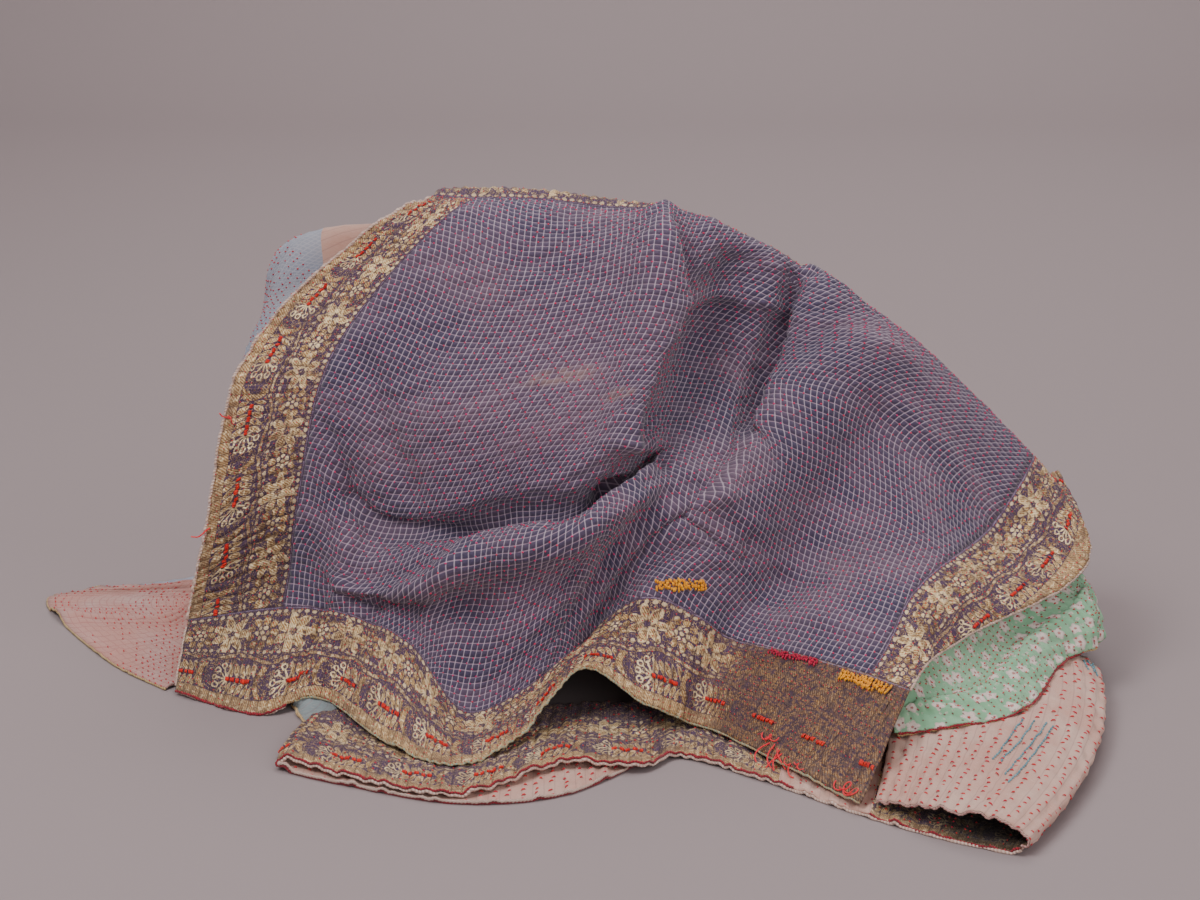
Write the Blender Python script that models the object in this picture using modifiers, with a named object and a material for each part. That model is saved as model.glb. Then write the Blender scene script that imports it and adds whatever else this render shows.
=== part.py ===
"""A kantha quilt thrown down in a loose heap.

The quilt is modelled as sheets in the shape in which they lie. The upper ply is a checked field with four
brocade borders round it, raised in a mound over a hollow. The lower ply comes down behind the mound to the
floor, with a flap at the left and a free hem at the right. The front fold is a run of the quilt's far edge
that zigzags under the front hem and ends in a flat tube at the right.

Units are metres. X is to the right, Y is away from the front, Z is up and the floor is at z = 0.
"""
import bmesh
import bpy
import numpy as np
from mathutils import Vector

# ---------------------------------------------------------------- driving dimensions
CLOTH = 0.0022            # thickness of the quilted layers stitched together
SEAM_GAP = 0.0006         # space left between two pieces that meet at a seam
WIDTH = 0.75              # upper ply, left edge to right edge
LENGTH = 0.64             # upper ply, front hem to back hem
SIDE_BORDER = 0.080       # width of the brocade at the left and right
FRONT_BORDER = 0.090      # width of the brocade along the front hem
BACK_BORDER = 0.075       # width of the brocade along the back hem
CELL = 0.0148             # size of one cell of the upper ply's surface
CENTRE_X = -0.0292        # middle of the heap, moved to the origin
CENTRE_Y = -0.0338

# ---------------------------------------------------------------- upper ply, a row for each rib, in millimetres
# A rib runs from the front hem to the back hem. Across the ply the ribs stand at these distances.
RIB_AT = (0.0, 0.08, 0.16, 0.24, 0.32, 0.39, 0.46, 0.53, 0.60, 0.67, 0.75)
# Along a rib the six columns stand at these distances from the front hem.
ALONG = (0.0, 0.09, 0.22, 0.38, 0.565, 0.64)
#          hem                 seam               waist             chest             crest             back
RIBS = (
    ((-358, -55, 4.2), (-350, -14, 54), (-335, 0, 123), (-290, 30, 296), (-136, 90, 407), (-122, 158, 372)),
    ((-284, -102, 1.1), (-264, -30, 72), (-249, -20, 166), (-216, 0, 293), (-100, 90, 405), (-90, 158, 371)),
    ((-230, -98, 16), (-209, -60, 78), (-196, -50, 117), (-139, -10, 288), (-38, 96, 404), (-32, 160, 370)),
    ((-166, -192, 15), (-151, -100, 66), (-134, -80, 126), (-71, -20, 287), (21, 98, 400), (22, 160, 366)),
    ((-105, -233, 11.4), (-104, -145, 26), (-74, -92, 146), (-7, -22, 284), (67, 84, 400), (66, 150, 364)),
    ((-56, -193, 20), (-49, -125, 37), (-11, -100, 160), (59, -10, 281), (116, 85, 386), (114, 152, 348)),
    ((-5, -135, 56), (7, -100, 81), (52, -80, 188), (107, 38, 284), (168, 92, 360), (164, 158, 322)),
    ((47, -155, 33), (54, -100, 104), (108, -62, 161), (162, 30, 246), (231, 92, 319), (226, 160, 282)),
    ((103, -158, 11.5), (131, -115, 78), (178, -60, 124), (243, 0, 232), (309, 98, 258), (304, 160, 222)),
    ((163, -234, 9.5), (230, -175, 66), (272, -110, 114), (345, -8, 134), (398, 92, 172), (396, 156, 142)),
    ((214, -307, 9.5), (262, -196, 61), (308, -130, 78), (416, -30, 94), (440, 58, 122), (430, 130, 144)),
)

# ---------------------------------------------------------------- folds of the upper ply
# A fold runs from one place on the ply to another and stands out by its rise, or sinks where that is negative.
#      across0 along0  across1 along1  width   rise
UPPER_FOLDS = (
    (0.150, 0.248, 0.410, 0.250, 0.013, -0.017),   # deep crease under the big face
    (0.170, 0.170, 0.280, 0.215, 0.020, 0.010),    # roll below that crease, left part
    (0.280, 0.215, 0.440, 0.220, 0.018, 0.012),    # roll below that crease, right part
    (0.335, 0.510, 0.395, 0.330, 0.022, 0.014),    # ridge at the right of the big face
    (0.430, 0.490, 0.455, 0.310, 0.032, -0.018),   # shaded recess beside the ridge
    (0.495, 0.530, 0.528, 0.330, 0.013, -0.013),   # long crease down the recess
    (0.425, 0.280, 0.455, 0.262, 0.012, -0.014),   # curled hollow at the foot of the ridge
    (0.570, 0.480, 0.500, 0.220, 0.030, 0.012),    # ridge right of the long crease
    (0.605, 0.370, 0.603, 0.090, 0.024, -0.012),   # valley beside the right panel
    (0.470, 0.215, 0.425, 0.145, 0.016, -0.012),   # valley between the roll and the middle
    (0.120, 0.020, 0.128, 0.085, 0.012, -0.006),   # tuck in the front border
    (0.330, 0.110, 0.300, 0.190, 0.030, -0.008),   # hollow above the front lobe
)

# ---------------------------------------------------------------- lower ply, a row for each rib, in millimetres
# These ribs go round the heap from the left front, by the back, to the free hem at the right. The columns under
# and top are places on the upper ply, across and along in metres, that the lower ply lies under, with its
# space from the upper ply there.
#     rim                foot                wall                shoulder          under           top           space
LOWER_RIBS = (
    ((-368, -46, 1.1), (-338, -8, 1.1), (-300, 16, 110), (-242, 30, 262), (0.045, 0.480), (0.080, 0.535), 7.0),
    ((-424, 16, 1.1), (-368, 58, 1.1), (-322, 86, 130), (-256, 102, 312), (0.020, 0.580), (0.065, 0.560), 6.5),
    ((-488, 122, 1.1), (-384, 124, 1.1), (-326, 136, 140), (-246, 132, 334), (0.022, 0.610), (0.070, 0.565), 5.5),
    ((-508, 190, 1.1), (-376, 186, 1.1), (-310, 186, 150), (-222, 158, 342), (0.040, 0.622), (0.085, 0.567), 3.0),
    ((-420, 226, 1.1), (-330, 230, 1.1), (-262, 216, 160), (-168, 174, 330), (0.075, 0.625), (0.110, 0.570), 1.2),
    ((-268, 292, 1.1), (-240, 262, 1.1), (-178, 232, 162), (-90, 182, 310), (0.135, 0.625), (0.170, 0.572), 1.2),
    ((-80, 314, 1.1), (-80, 278, 1.1), (-40, 238, 160), (20, 182, 300), (0.245, 0.625), (0.275, 0.574), 3.0),
    ((122, 306, 1.1), (112, 268, 1.1), (112, 226, 146), (136, 174, 270), (0.390, 0.625), (0.410, 0.574), 4.0),
    ((302, 276, 1.1), (282, 238, 1.1), (262, 208, 100), (256, 170, 190), (0.525, 0.625), (0.530, 0.574), 4.0),
    ((420, 190, 1.1), (402, 172, 1.1), (390, 152, 60), (366, 136, 108), (0.655, 0.610), (0.630, 0.560), 5.0),
    ((446, 84, 34), (442, 78, 54), (434, 68, 74), (420, 60, 98), (0.690, 0.530), (0.640, 0.500), 5.0),
    ((448, -26, 40), (444, -22, 56), (434, -16, 72), (412, -14, 84), (0.705, 0.390), (0.655, 0.390), 5.0),
    ((404, -79, 39), (396, -76, 50), (384, -74, 61), (356, -72, 70), (0.705, 0.300), (0.660, 0.310), 5.0),
    ((352, -180, 34.6), (342, -172, 41), (328, -160, 49), (306, -142, 56), (0.700, 0.200), (0.660, 0.215), 5.0),
    ((250, -200, 24), (250, -192, 30), (250, -184, 38), (250, -178, 46), (0.705, 0.110), (0.660, 0.125), 5.0),
)
# Folds of the lower ply, with 0.1 m across from rib to rib and its own distance up from the rim.
#      across0 along0  across1 along1  width   rise
LOWER_FOLDS = (
    (0.355, 0.060, 0.375, 0.360, 0.024, 0.012),    # soft fold at the back left
    (0.455, 0.020, 0.450, 0.380, 0.026, -0.012),   # hollow beside it
    (0.545, 0.000, 0.560, 0.360, 0.026, 0.014),    # fold down the middle of the back
    (0.655, 0.040, 0.640, 0.300, 0.028, -0.012),   # hollow right of the middle
    (0.745, 0.000, 0.730, 0.340, 0.026, 0.012),    # fold at the back right
    (0.850, 0.020, 0.840, 0.260, 0.024, -0.008),   # hollow towards the right
    (0.215, 0.010, 0.205, 0.110, 0.018, 0.006),    # low ridge in the left flap
    (1.130, 0.040, 1.100, 0.300, 0.020, 0.004),    # soft ridge in the right hem
)
LOWER_UP = (0.0, 0.08, 0.22, 0.42, 0.50, 0.56)
LOWER_STEPS = (2, 3, 3, 3, 3, 4, 5, 5, 4, 4, 4, 4, 3, 3)
LOWER_UP_STEPS = (3, 5, 6, 4, 3)

# ---------------------------------------------------------------- front fold, a row for each section, in millimetres
# The sections follow the cloth from the hidden end of its bottom ply, left, round the left fold, right along
# the front, up round the right fold and back over the tube.
# Halfway back a section stands further right than straight between its edges by its bulge.
#     front edge            back edge           bulge
FRONT_SECTIONS = (
    ((45, -206, 1.1), (34, -96, 1.1), 0),
    ((-20, -270, 1.1), (-24, -104, 1.1), 0),
    ((-100, -286, 1.1), (-98, -110, 1.1), 0),
    ((-196, -249, 1.1), (-186, -116, 1.1), 0),
    ((-243, -224, 1.6), (-224, -118, 1.6), -4),
    ((-252, -218, 5.6), (-232, -118, 5.6), -6),
    ((-243, -216, 9.6), (-224, -118, 9.6), -4),
    ((-198, -243, 9.2), (-186, -114, 9.2), 0),
    ((-103, -280, 8.2), (-98, -106, 8.6), 0),
    ((-18, -222, 11.0), (-10, -98, 9.0), 0),
    ((45, -224, 8.4), (44, -92, 8.0), 0),
    ((72, -196, 5.4), (76, -90, 6.0), 0),
    ((135, -236, 4.0), (150, -88, 4.0), 0),
    ((208, -302, 2.6), (238, -82, 2.6), 4),
    ((268, -348, 1.8), (316, -78, 1.8), 10),
    ((318, -376, 2.0), (396, -72, 2.0), 20),
    ((334, -382, 12.0), (442, -50, 17.0), 24),
    ((318, -372, 24.0), (420, -40, 34.0), 22),
    ((272, -346, 23.0), (360, -40, 36.0), 12),
    ((226, -300, 9.0), (262, -70, 26.0), 4),
)
FRONT_STEPS = (3, 4, 5, 3, 3, 3, 3, 5, 5, 4, 2, 4, 5, 4, 4, 4, 4, 4, 4)
FRONT_DEPTH_STEPS = 6


# ---------------------------------------------------------------- surfaces
def spline(knots, values, where):
    """Smooth curve through the values, which stand at the knots; values may be an array of points."""
    knots = np.asarray(knots, float)
    values = np.asarray(values, float)
    slopes = np.empty_like(values)
    shape = (-1,) + (1,) * (values.ndim - 1)
    chords = (values[1:] - values[:-1]) / (knots[1:] - knots[:-1]).reshape(shape)
    gaps = (knots[1:] - knots[:-1]).reshape(shape)
    slopes[0] = chords[0]
    slopes[-1] = chords[-1]
    slopes[1:-1] = (chords[:-1] * gaps[1:] + chords[1:] * gaps[:-1]) / (gaps[1:] + gaps[:-1])
    where = np.asarray(where, float)
    cell = np.clip(np.searchsorted(knots, where, side="right") - 1, 0, len(knots) - 2)
    step = (knots[cell + 1] - knots[cell]).reshape(shape)
    part = ((where - knots[cell]) / (knots[cell + 1] - knots[cell])).reshape(shape)
    first = (1 + 2 * part) * (1 - part) ** 2
    last = part ** 2 * (3 - 2 * part)
    return (first * values[cell] + last * values[cell + 1]
            + part * (1 - part) ** 2 * step * slopes[cell]
            - part ** 2 * (1 - part) * step * slopes[cell + 1])


def upper_base(across, along):
    """Grid of points of the upper ply before its folds, for lists of distances across and along."""
    ribs = np.array(RIBS, float) / 1000.0
    lines = spline(ALONG, ribs.transpose(1, 0, 2), along)
    return spline(RIB_AT, lines.transpose(1, 0, 2), across)


def fold_height(across, along, folds):
    """Height of the folds at each place of a grid."""
    total = np.zeros(across.shape)
    for across0, along0, across1, along1, width, rise in folds:
        run = np.array((across1 - across0, along1 - along0))
        length = float(np.hypot(*run))
        run = run / length
        forward = (across - across0) * run[0] + (along - along0) * run[1]
        aside = (across - across0) * run[1] - (along - along0) * run[0]
        beyond = np.maximum(0.0, np.maximum(-forward, forward - length))
        total += rise * np.exp(-(aside / width) ** 2 - (beyond / (1.6 * width)) ** 2)
    return total


def upper_ply(across, along):
    """Grid of points of the upper ply with its folds, which stand out along the surface's own normal."""
    small = 0.004
    points = upper_base(across, along)
    right = upper_base(np.add(across, small), along) - upper_base(np.subtract(across, small), along)
    back = upper_base(across, np.add(along, small)) - upper_base(across, np.subtract(along, small))
    normal = np.cross(right, back)
    normal /= np.linalg.norm(normal, axis=2, keepdims=True)
    grid_across, grid_along = np.meshgrid(across, along, indexing="ij")
    return points + normal * fold_height(grid_across, grid_along, UPPER_FOLDS)[..., None]


def stations(start, end, seam_start, seam_end):
    """Distances from start to end about a cell apart, with a narrow first cell beside each seam."""
    narrow = 0.0008
    begin = start + (SEAM_GAP / 2 if seam_start else 0.0)
    finish = end - (SEAM_GAP / 2 if seam_end else 0.0)
    inner0 = begin + (narrow if seam_start else 0.0)
    inner1 = finish - (narrow if seam_end else 0.0)
    count = max(2, round((inner1 - inner0) / CELL))
    middle = np.linspace(inner0, inner1, count + 1)
    first = [begin] if seam_start else []
    last = [finish] if seam_end else []
    return np.concatenate((first, middle, last))


def stepped(knots, steps):
    """The knots with each gap between them cut into its number of steps."""
    places = [np.linspace(knots[i], knots[i + 1], steps[i], endpoint=False) for i in range(len(steps))]
    return np.concatenate(places + [[knots[-1]]])


def under_upper(across, along, space):
    """The point under the upper ply at one place, where the middle of a sheet lies that far below it."""
    steps = np.array((-0.003, 0.0, 0.003))
    spots = upper_ply(across + steps, along + steps)
    normal = np.cross(spots[2, 1] - spots[0, 1], spots[1, 2] - spots[1, 0])
    normal /= np.linalg.norm(normal)
    return spots[1, 1] - normal * (CLOTH + space)


def lower_ply():
    """Grid of points of the lower ply, round the heap and up it."""
    round_knots = np.arange(len(LOWER_RIBS), dtype=float)
    places = stepped(round_knots, LOWER_STEPS)
    free = spline(round_knots, np.array([rib[:4] for rib in LOWER_RIBS], float) / 1000.0, places)
    covered = spline(round_knots, np.array([rib[4:6] for rib in LOWER_RIBS], float), places)
    spaces = spline(round_knots, np.array([rib[6] for rib in LOWER_RIBS], float) / 1000.0, places)
    seated = np.array([[under_upper(*spot, space) for spot in rib] for rib, space in zip(covered, spaces)])
    ribs = np.concatenate((free, seated), axis=1)
    heights = stepped(LOWER_UP, LOWER_UP_STEPS)
    points = spline(LOWER_UP, ribs.transpose(1, 0, 2), heights).transpose(1, 0, 2)
    outward = np.cross(np.gradient(points, axis=1), np.gradient(points, axis=0))
    outward /= np.linalg.norm(outward, axis=2, keepdims=True)
    grid_across, grid_along = np.meshgrid(places * 0.1, heights, indexing="ij")
    return points + outward * fold_height(grid_across, grid_along, LOWER_FOLDS)[..., None]


def front_fold():
    """Grid of points of the front fold, along the cloth and from its front edge to its back edge."""
    sections = np.array([row[:2] for row in FRONT_SECTIONS], float) / 1000.0
    bulges = np.array([row[2] for row in FRONT_SECTIONS], float) / 1000.0
    middle = sections.mean(axis=1)
    lengths = np.linalg.norm(np.diff(middle, axis=0), axis=1)
    knots = np.concatenate(([0.0], np.cumsum(np.sqrt(lengths))))
    places = stepped(knots, FRONT_STEPS)
    edges = spline(knots, sections, places)
    bulge = spline(knots, bulges, places)
    depth = np.linspace(0.0, 1.0, FRONT_DEPTH_STEPS + 1)[None, :, None]
    points = edges[:, :1] * (1 - depth) + edges[:, 1:] * depth
    points[..., 0] += bulge[:, None] * 4 * depth[..., 0] * (1 - depth[..., 0])
    return points


# ---------------------------------------------------------------- objects
def clear_scene():
    for obj in list(bpy.data.objects):
        bpy.data.objects.remove(obj, do_unlink=True)


def material(name, colour, roughness, metallic):
    made = bpy.data.materials.new(name)
    made.use_nodes = True
    shader = made.node_tree.nodes["Principled BSDF"]
    shader.inputs["Base Color"].default_value = (*colour, 1.0)
    shader.inputs["Roughness"].default_value = roughness
    shader.inputs["Metallic"].default_value = metallic
    made.diffuse_color = (*colour, 1.0)
    return made


def cloth(name, grid, collection, look):
    """One sheet of cloth: the open surface through a grid of points, thickened evenly about itself."""
    rows, columns = grid.shape[:2]
    grid[..., 2] = np.maximum(grid[..., 2], CLOTH / 2)
    shape = bmesh.new()
    verts = [shape.verts.new(Vector(point)) for point in grid.reshape(-1, 3)]
    for i in range(rows - 1):
        for j in range(columns - 1):
            corner = i * columns + j
            ring = (corner, corner + columns, corner + columns + 1, corner + 1)
            shape.faces.new([verts[k] for k in ring])
    mesh = bpy.data.meshes.new(name)
    shape.to_mesh(mesh)
    shape.free()
    for face in mesh.polygons:
        face.use_smooth = True
    mesh.materials.append(look)
    sheet = bpy.data.objects.new(name, mesh)
    collection.objects.link(sheet)
    thick = sheet.modifiers.new("thickness", "SOLIDIFY")
    thick.thickness = CLOTH
    thick.offset = 0.0
    thick.use_even_offset = False
    return sheet


def main():
    clear_scene()
    quilt = bpy.data.collections.new("kantha_quilt")
    bpy.context.scene.collection.children.link(quilt)
    check = material("indigo_check", (0.105, 0.085, 0.145), 0.9, 0.0)
    brocade = material("gold_brocade", (0.26, 0.17, 0.09), 0.62, 0.15)
    backing = material("patchwork_back", (0.52, 0.40, 0.36), 0.92, 0.0)
    folded = material("pink_back", (0.50, 0.37, 0.33), 0.92, 0.0)

    centre = np.array((CENTRE_X, CENTRE_Y, 0.0))
    right_seam = WIDTH - SIDE_BORDER
    back_seam = LENGTH - BACK_BORDER
    left = stations(0.0, SIDE_BORDER, False, True)
    middle = stations(SIDE_BORDER, right_seam, True, True)
    right = stations(right_seam, WIDTH, True, False)
    whole = np.concatenate((left, middle, right))
    front = stations(0.0, FRONT_BORDER, False, True)
    inner = stations(FRONT_BORDER, back_seam, True, True)
    back = stations(back_seam, LENGTH, True, False)
    pieces = (
        ("check_field", middle, inner, check),
        ("border_front", whole, front, brocade),
        ("border_back", whole, back, brocade),
        ("border_left", left, inner, brocade),
        ("border_right", right, inner, brocade),
    )
    for name, across, along, look in pieces:
        cloth(name, upper_ply(across, along) - centre, quilt, look)
    cloth("lower_ply", lower_ply() - centre, quilt, backing)
    cloth("front_fold", front_fold() - centre, quilt, folded)


main()
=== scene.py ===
"""Dresses the solids of a kantha quilt that lies in a loose heap.

The quilt has an indigo field in a fine check, four brocade borders and a reverse of old patches. Close
rows of running stitches hold every layer together. The file is laid out as an add-on and runs as a script.

Units are metres, and the tables of places are in millimetres. X is to the right, Y is away from the
front, Z is up and the floor is at z = 0.
"""
import math

import bmesh
import bpy
import numpy as np
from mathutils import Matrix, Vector


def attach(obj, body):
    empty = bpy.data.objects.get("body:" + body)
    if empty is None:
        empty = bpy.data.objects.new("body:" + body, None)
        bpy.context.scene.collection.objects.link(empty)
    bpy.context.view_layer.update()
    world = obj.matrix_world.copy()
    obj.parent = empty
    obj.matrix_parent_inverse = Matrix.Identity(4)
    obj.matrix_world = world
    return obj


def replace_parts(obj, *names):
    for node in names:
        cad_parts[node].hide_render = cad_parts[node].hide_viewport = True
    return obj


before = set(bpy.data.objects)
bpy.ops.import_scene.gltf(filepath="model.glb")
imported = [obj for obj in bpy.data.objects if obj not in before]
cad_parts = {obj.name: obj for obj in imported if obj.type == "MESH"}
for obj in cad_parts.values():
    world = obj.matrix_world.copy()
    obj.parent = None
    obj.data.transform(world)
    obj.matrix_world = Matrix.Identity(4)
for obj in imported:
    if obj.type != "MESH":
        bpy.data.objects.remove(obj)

bl_info = {
    "name": "Kantha Quilt",
    "version": (1, 0, 0),
    "blender": (4, 5, 0),
    "location": "View3D > Sidebar > Quilt",
    "description": "Builds a hand-stitched quilt: checked field, brocade borders, patched reverse",
    "category": "Add Mesh",
}

# ---------------------------------------------------------------- sizes shared with the solids
WIDTH = 0.75              # upper ply, left edge to right edge
LENGTH = 0.64             # upper ply, front hem to back hem
SIDE_BORDER = 0.080       # width of the brocade at the left and right
FRONT_BORDER = 0.090      # width of the brocade along the front hem
BACK_BORDER = 0.075       # width of the brocade along the back hem
CENTRE = np.array((-0.0292, -0.0338, 0.0))   # middle of the heap in the tables below
RIGHT_SEAM = WIDTH - SIDE_BORDER
BACK_SEAM = LENGTH - BACK_BORDER

# ---------------------------------------------------------------- upper ply, a row for each rib
# A rib runs from the front hem to the back hem. Across the ply the ribs stand at these distances.
RIB_AT = (0, 80, 160, 240, 320, 390, 460, 530, 600, 670, 750)
# Along a rib the six columns stand at these distances from the front hem.
ALONG = (0, 90, 220, 380, 565, 640)
#          hem                 seam               waist             chest             crest             back
RIBS = (
    ((-358, -55, 4.2), (-350, -14, 54), (-335, 0, 123), (-290, 30, 296), (-136, 90, 407), (-122, 158, 372)),
    ((-284, -102, 1.1), (-264, -30, 72), (-249, -20, 166), (-216, 0, 293), (-100, 90, 405),
     (-90, 158, 371)),
    ((-230, -98, 16), (-209, -60, 78), (-196, -50, 117), (-139, -10, 288), (-38, 96, 404), (-32, 160, 370)),
    ((-166, -192, 15), (-151, -100, 66), (-134, -80, 126), (-71, -20, 287), (21, 98, 400), (22, 160, 366)),
    ((-105, -233, 11.4), (-104, -145, 26), (-74, -92, 146), (-7, -22, 284), (67, 84, 400), (66, 150, 364)),
    ((-56, -193, 20), (-49, -125, 37), (-11, -100, 160), (59, -10, 281), (116, 85, 386), (114, 152, 348)),
    ((-5, -135, 56), (7, -100, 81), (52, -80, 188), (107, 38, 284), (168, 92, 360), (164, 158, 322)),
    ((47, -155, 33), (54, -100, 104), (108, -62, 161), (162, 30, 246), (231, 92, 319), (226, 160, 282)),
    ((103, -158, 11.5), (131, -115, 78), (178, -60, 124), (243, 0, 232), (309, 98, 258), (304, 160, 222)),
    ((163, -234, 9.5), (230, -175, 66), (272, -110, 114), (345, -8, 134), (398, 92, 172), (396, 156, 142)),
    ((214, -307, 9.5), (262, -196, 61), (308, -130, 78), (416, -30, 94), (440, 58, 122), (430, 130, 144)),
)

# ---------------------------------------------------------------- folds of the upper ply
# A fold runs from one place on the ply to another. It stands out by its rise, or sinks where that is
# negative.
#   across0, along0, across1, along1, width, rise
UPPER_FOLDS = (
    (150, 248, 410, 250, 13, -17),      # deep crease under the big face
    (170, 170, 280, 215, 20, 10),       # roll below that crease, left part
    (280, 215, 440, 220, 18, 12),       # roll below that crease, right part
    (335, 510, 395, 330, 22, 14),       # ridge at the right of the big face
    (430, 490, 455, 310, 32, -18),      # shaded recess beside the ridge
    (495, 530, 528, 330, 13, -13),      # long crease down the recess
    (425, 280, 455, 262, 12, -14),      # curled hollow at the foot of the ridge
    (570, 480, 500, 220, 30, 12),       # ridge right of the long crease
    (605, 370, 603, 90, 24, -12),       # valley beside the right panel
    (470, 215, 425, 145, 16, -12),      # valley between the roll and the middle
    (120, 20, 128, 85, 12, -6),         # tuck in the front border
    (330, 110, 300, 190, 30, -8),       # hollow above the front lobe
)

# ---------------------------------------------------------------- lower ply, a row for each rib
# These ribs go round the heap from the left front, by the back, to the free hem at the right. The columns
# under and top are places on the upper ply, across and along, that the lower ply lies under, with its space
# from the upper ply there.
#     rim               foot               wall              shoulder          under      top      space
LOWER_RIBS = (
    ((-368, -46, 1.1), (-338, -8, 1.1), (-300, 16, 110), (-242, 30, 262), (45, 480), (80, 535), 7.0),
    ((-424, 16, 1.1), (-368, 58, 1.1), (-322, 86, 130), (-256, 102, 312), (20, 580), (65, 560), 6.5),
    ((-488, 122, 1.1), (-384, 124, 1.1), (-326, 136, 140), (-246, 132, 334), (22, 610), (70, 565), 5.5),
    ((-508, 190, 1.1), (-376, 186, 1.1), (-310, 186, 150), (-222, 158, 342), (40, 622), (85, 567), 3.0),
    ((-420, 226, 1.1), (-330, 230, 1.1), (-262, 216, 160), (-168, 174, 330), (75, 625), (110, 570), 1.2),
    ((-268, 292, 1.1), (-240, 262, 1.1), (-178, 232, 162), (-90, 182, 310), (135, 625), (170, 572), 1.2),
    ((-80, 314, 1.1), (-80, 278, 1.1), (-40, 238, 160), (20, 182, 300), (245, 625), (275, 574), 3.0),
    ((122, 306, 1.1), (112, 268, 1.1), (112, 226, 146), (136, 174, 270), (390, 625), (410, 574), 4.0),
    ((302, 276, 1.1), (282, 238, 1.1), (262, 208, 100), (256, 170, 190), (525, 625), (530, 574), 4.0),
    ((420, 190, 1.1), (402, 172, 1.1), (390, 152, 60), (366, 136, 108), (655, 610), (630, 560), 5.0),
    ((446, 84, 34), (442, 78, 54), (434, 68, 74), (420, 60, 98), (690, 530), (640, 500), 5.0),
    ((448, -26, 40), (444, -22, 56), (434, -16, 72), (412, -14, 84), (705, 390), (655, 390), 5.0),
    ((404, -79, 39), (396, -76, 50), (384, -74, 61), (356, -72, 70), (705, 300), (660, 310), 5.0),
    ((352, -180, 34.6), (342, -172, 41), (328, -160, 49), (306, -142, 56), (700, 200), (660, 215), 5.0),
    ((250, -200, 24), (250, -192, 30), (250, -184, 38), (250, -178, 46), (705, 110), (660, 125), 5.0),
)
# Folds of the lower ply, with 100 mm across from rib to rib and its own distance up from the rim.
#   across0, along0, across1, along1, width, rise
LOWER_FOLDS = (
    (355, 60, 375, 360, 24, 12),        # soft fold at the back left
    (455, 20, 450, 380, 26, -12),       # hollow beside it
    (545, 0, 560, 360, 26, 14),         # fold down the middle of the back
    (655, 40, 640, 300, 28, -12),       # hollow right of the middle
    (745, 0, 730, 340, 26, 12),         # fold at the back right
    (850, 20, 840, 260, 24, -8),        # hollow towards the right
    (215, 10, 205, 110, 18, 6),         # low ridge in the left flap
    (1130, 40, 1100, 300, 20, 4),       # soft ridge in the right hem
    (215, 425, 300, 370, 34, 30),       # bulge behind the left border
)
# The six columns of a rib stand at these distances from its rim, in metres, and this share of it shows.
LOWER_UP = (0.0, 0.08, 0.22, 0.42, 0.50, 0.56)
SHOWN_SHARE = 0.72
RIB_STEP = 0.1            # distance across from rib to rib

# ---------------------------------------------------------------- front fold, a row for each section
# The sections follow the cloth from the hidden end of its bottom ply, left, round the left fold, right
# along the front, up round the right fold and back over the tube. Halfway back a section stands further
# right, by its bulge, than straight between its edges.
#     front edge            back edge           bulge
FRONT_SECTIONS = (
    ((45, -206, 1.1), (34, -96, 1.1), 0),
    ((-20, -270, 1.1), (-24, -104, 1.1), 0),
    ((-100, -286, 1.1), (-98, -110, 1.1), 0),
    ((-196, -249, 1.1), (-186, -116, 1.1), 0),
    ((-243, -224, 1.6), (-224, -118, 1.6), -4),
    ((-252, -218, 5.6), (-232, -118, 5.6), -6),
    ((-243, -216, 9.6), (-224, -118, 9.6), -4),
    ((-198, -243, 9.2), (-186, -114, 9.2), 0),
    ((-103, -280, 8.2), (-98, -106, 8.6), 0),
    ((-18, -222, 11.0), (-10, -98, 9.0), 0),
    ((45, -224, 8.4), (44, -92, 8.0), 0),
    ((72, -196, 5.4), (76, -90, 6.0), 0),
    ((135, -236, 4.0), (150, -88, 4.0), 0),
    ((208, -302, 2.6), (238, -82, 2.6), 4),
    ((268, -348, 1.8), (316, -78, 1.8), 10),
    ((318, -376, 2.0), (396, -72, 2.0), 20),
    ((334, -382, 12.0), (442, -50, 17.0), 24),
    ((318, -372, 24.0), (420, -40, 34.0), 22),
    ((272, -346, 23.0), (360, -40, 36.0), 12),
    ((226, -300, 9.0), (262, -70, 26.0), 4),
)

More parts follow.
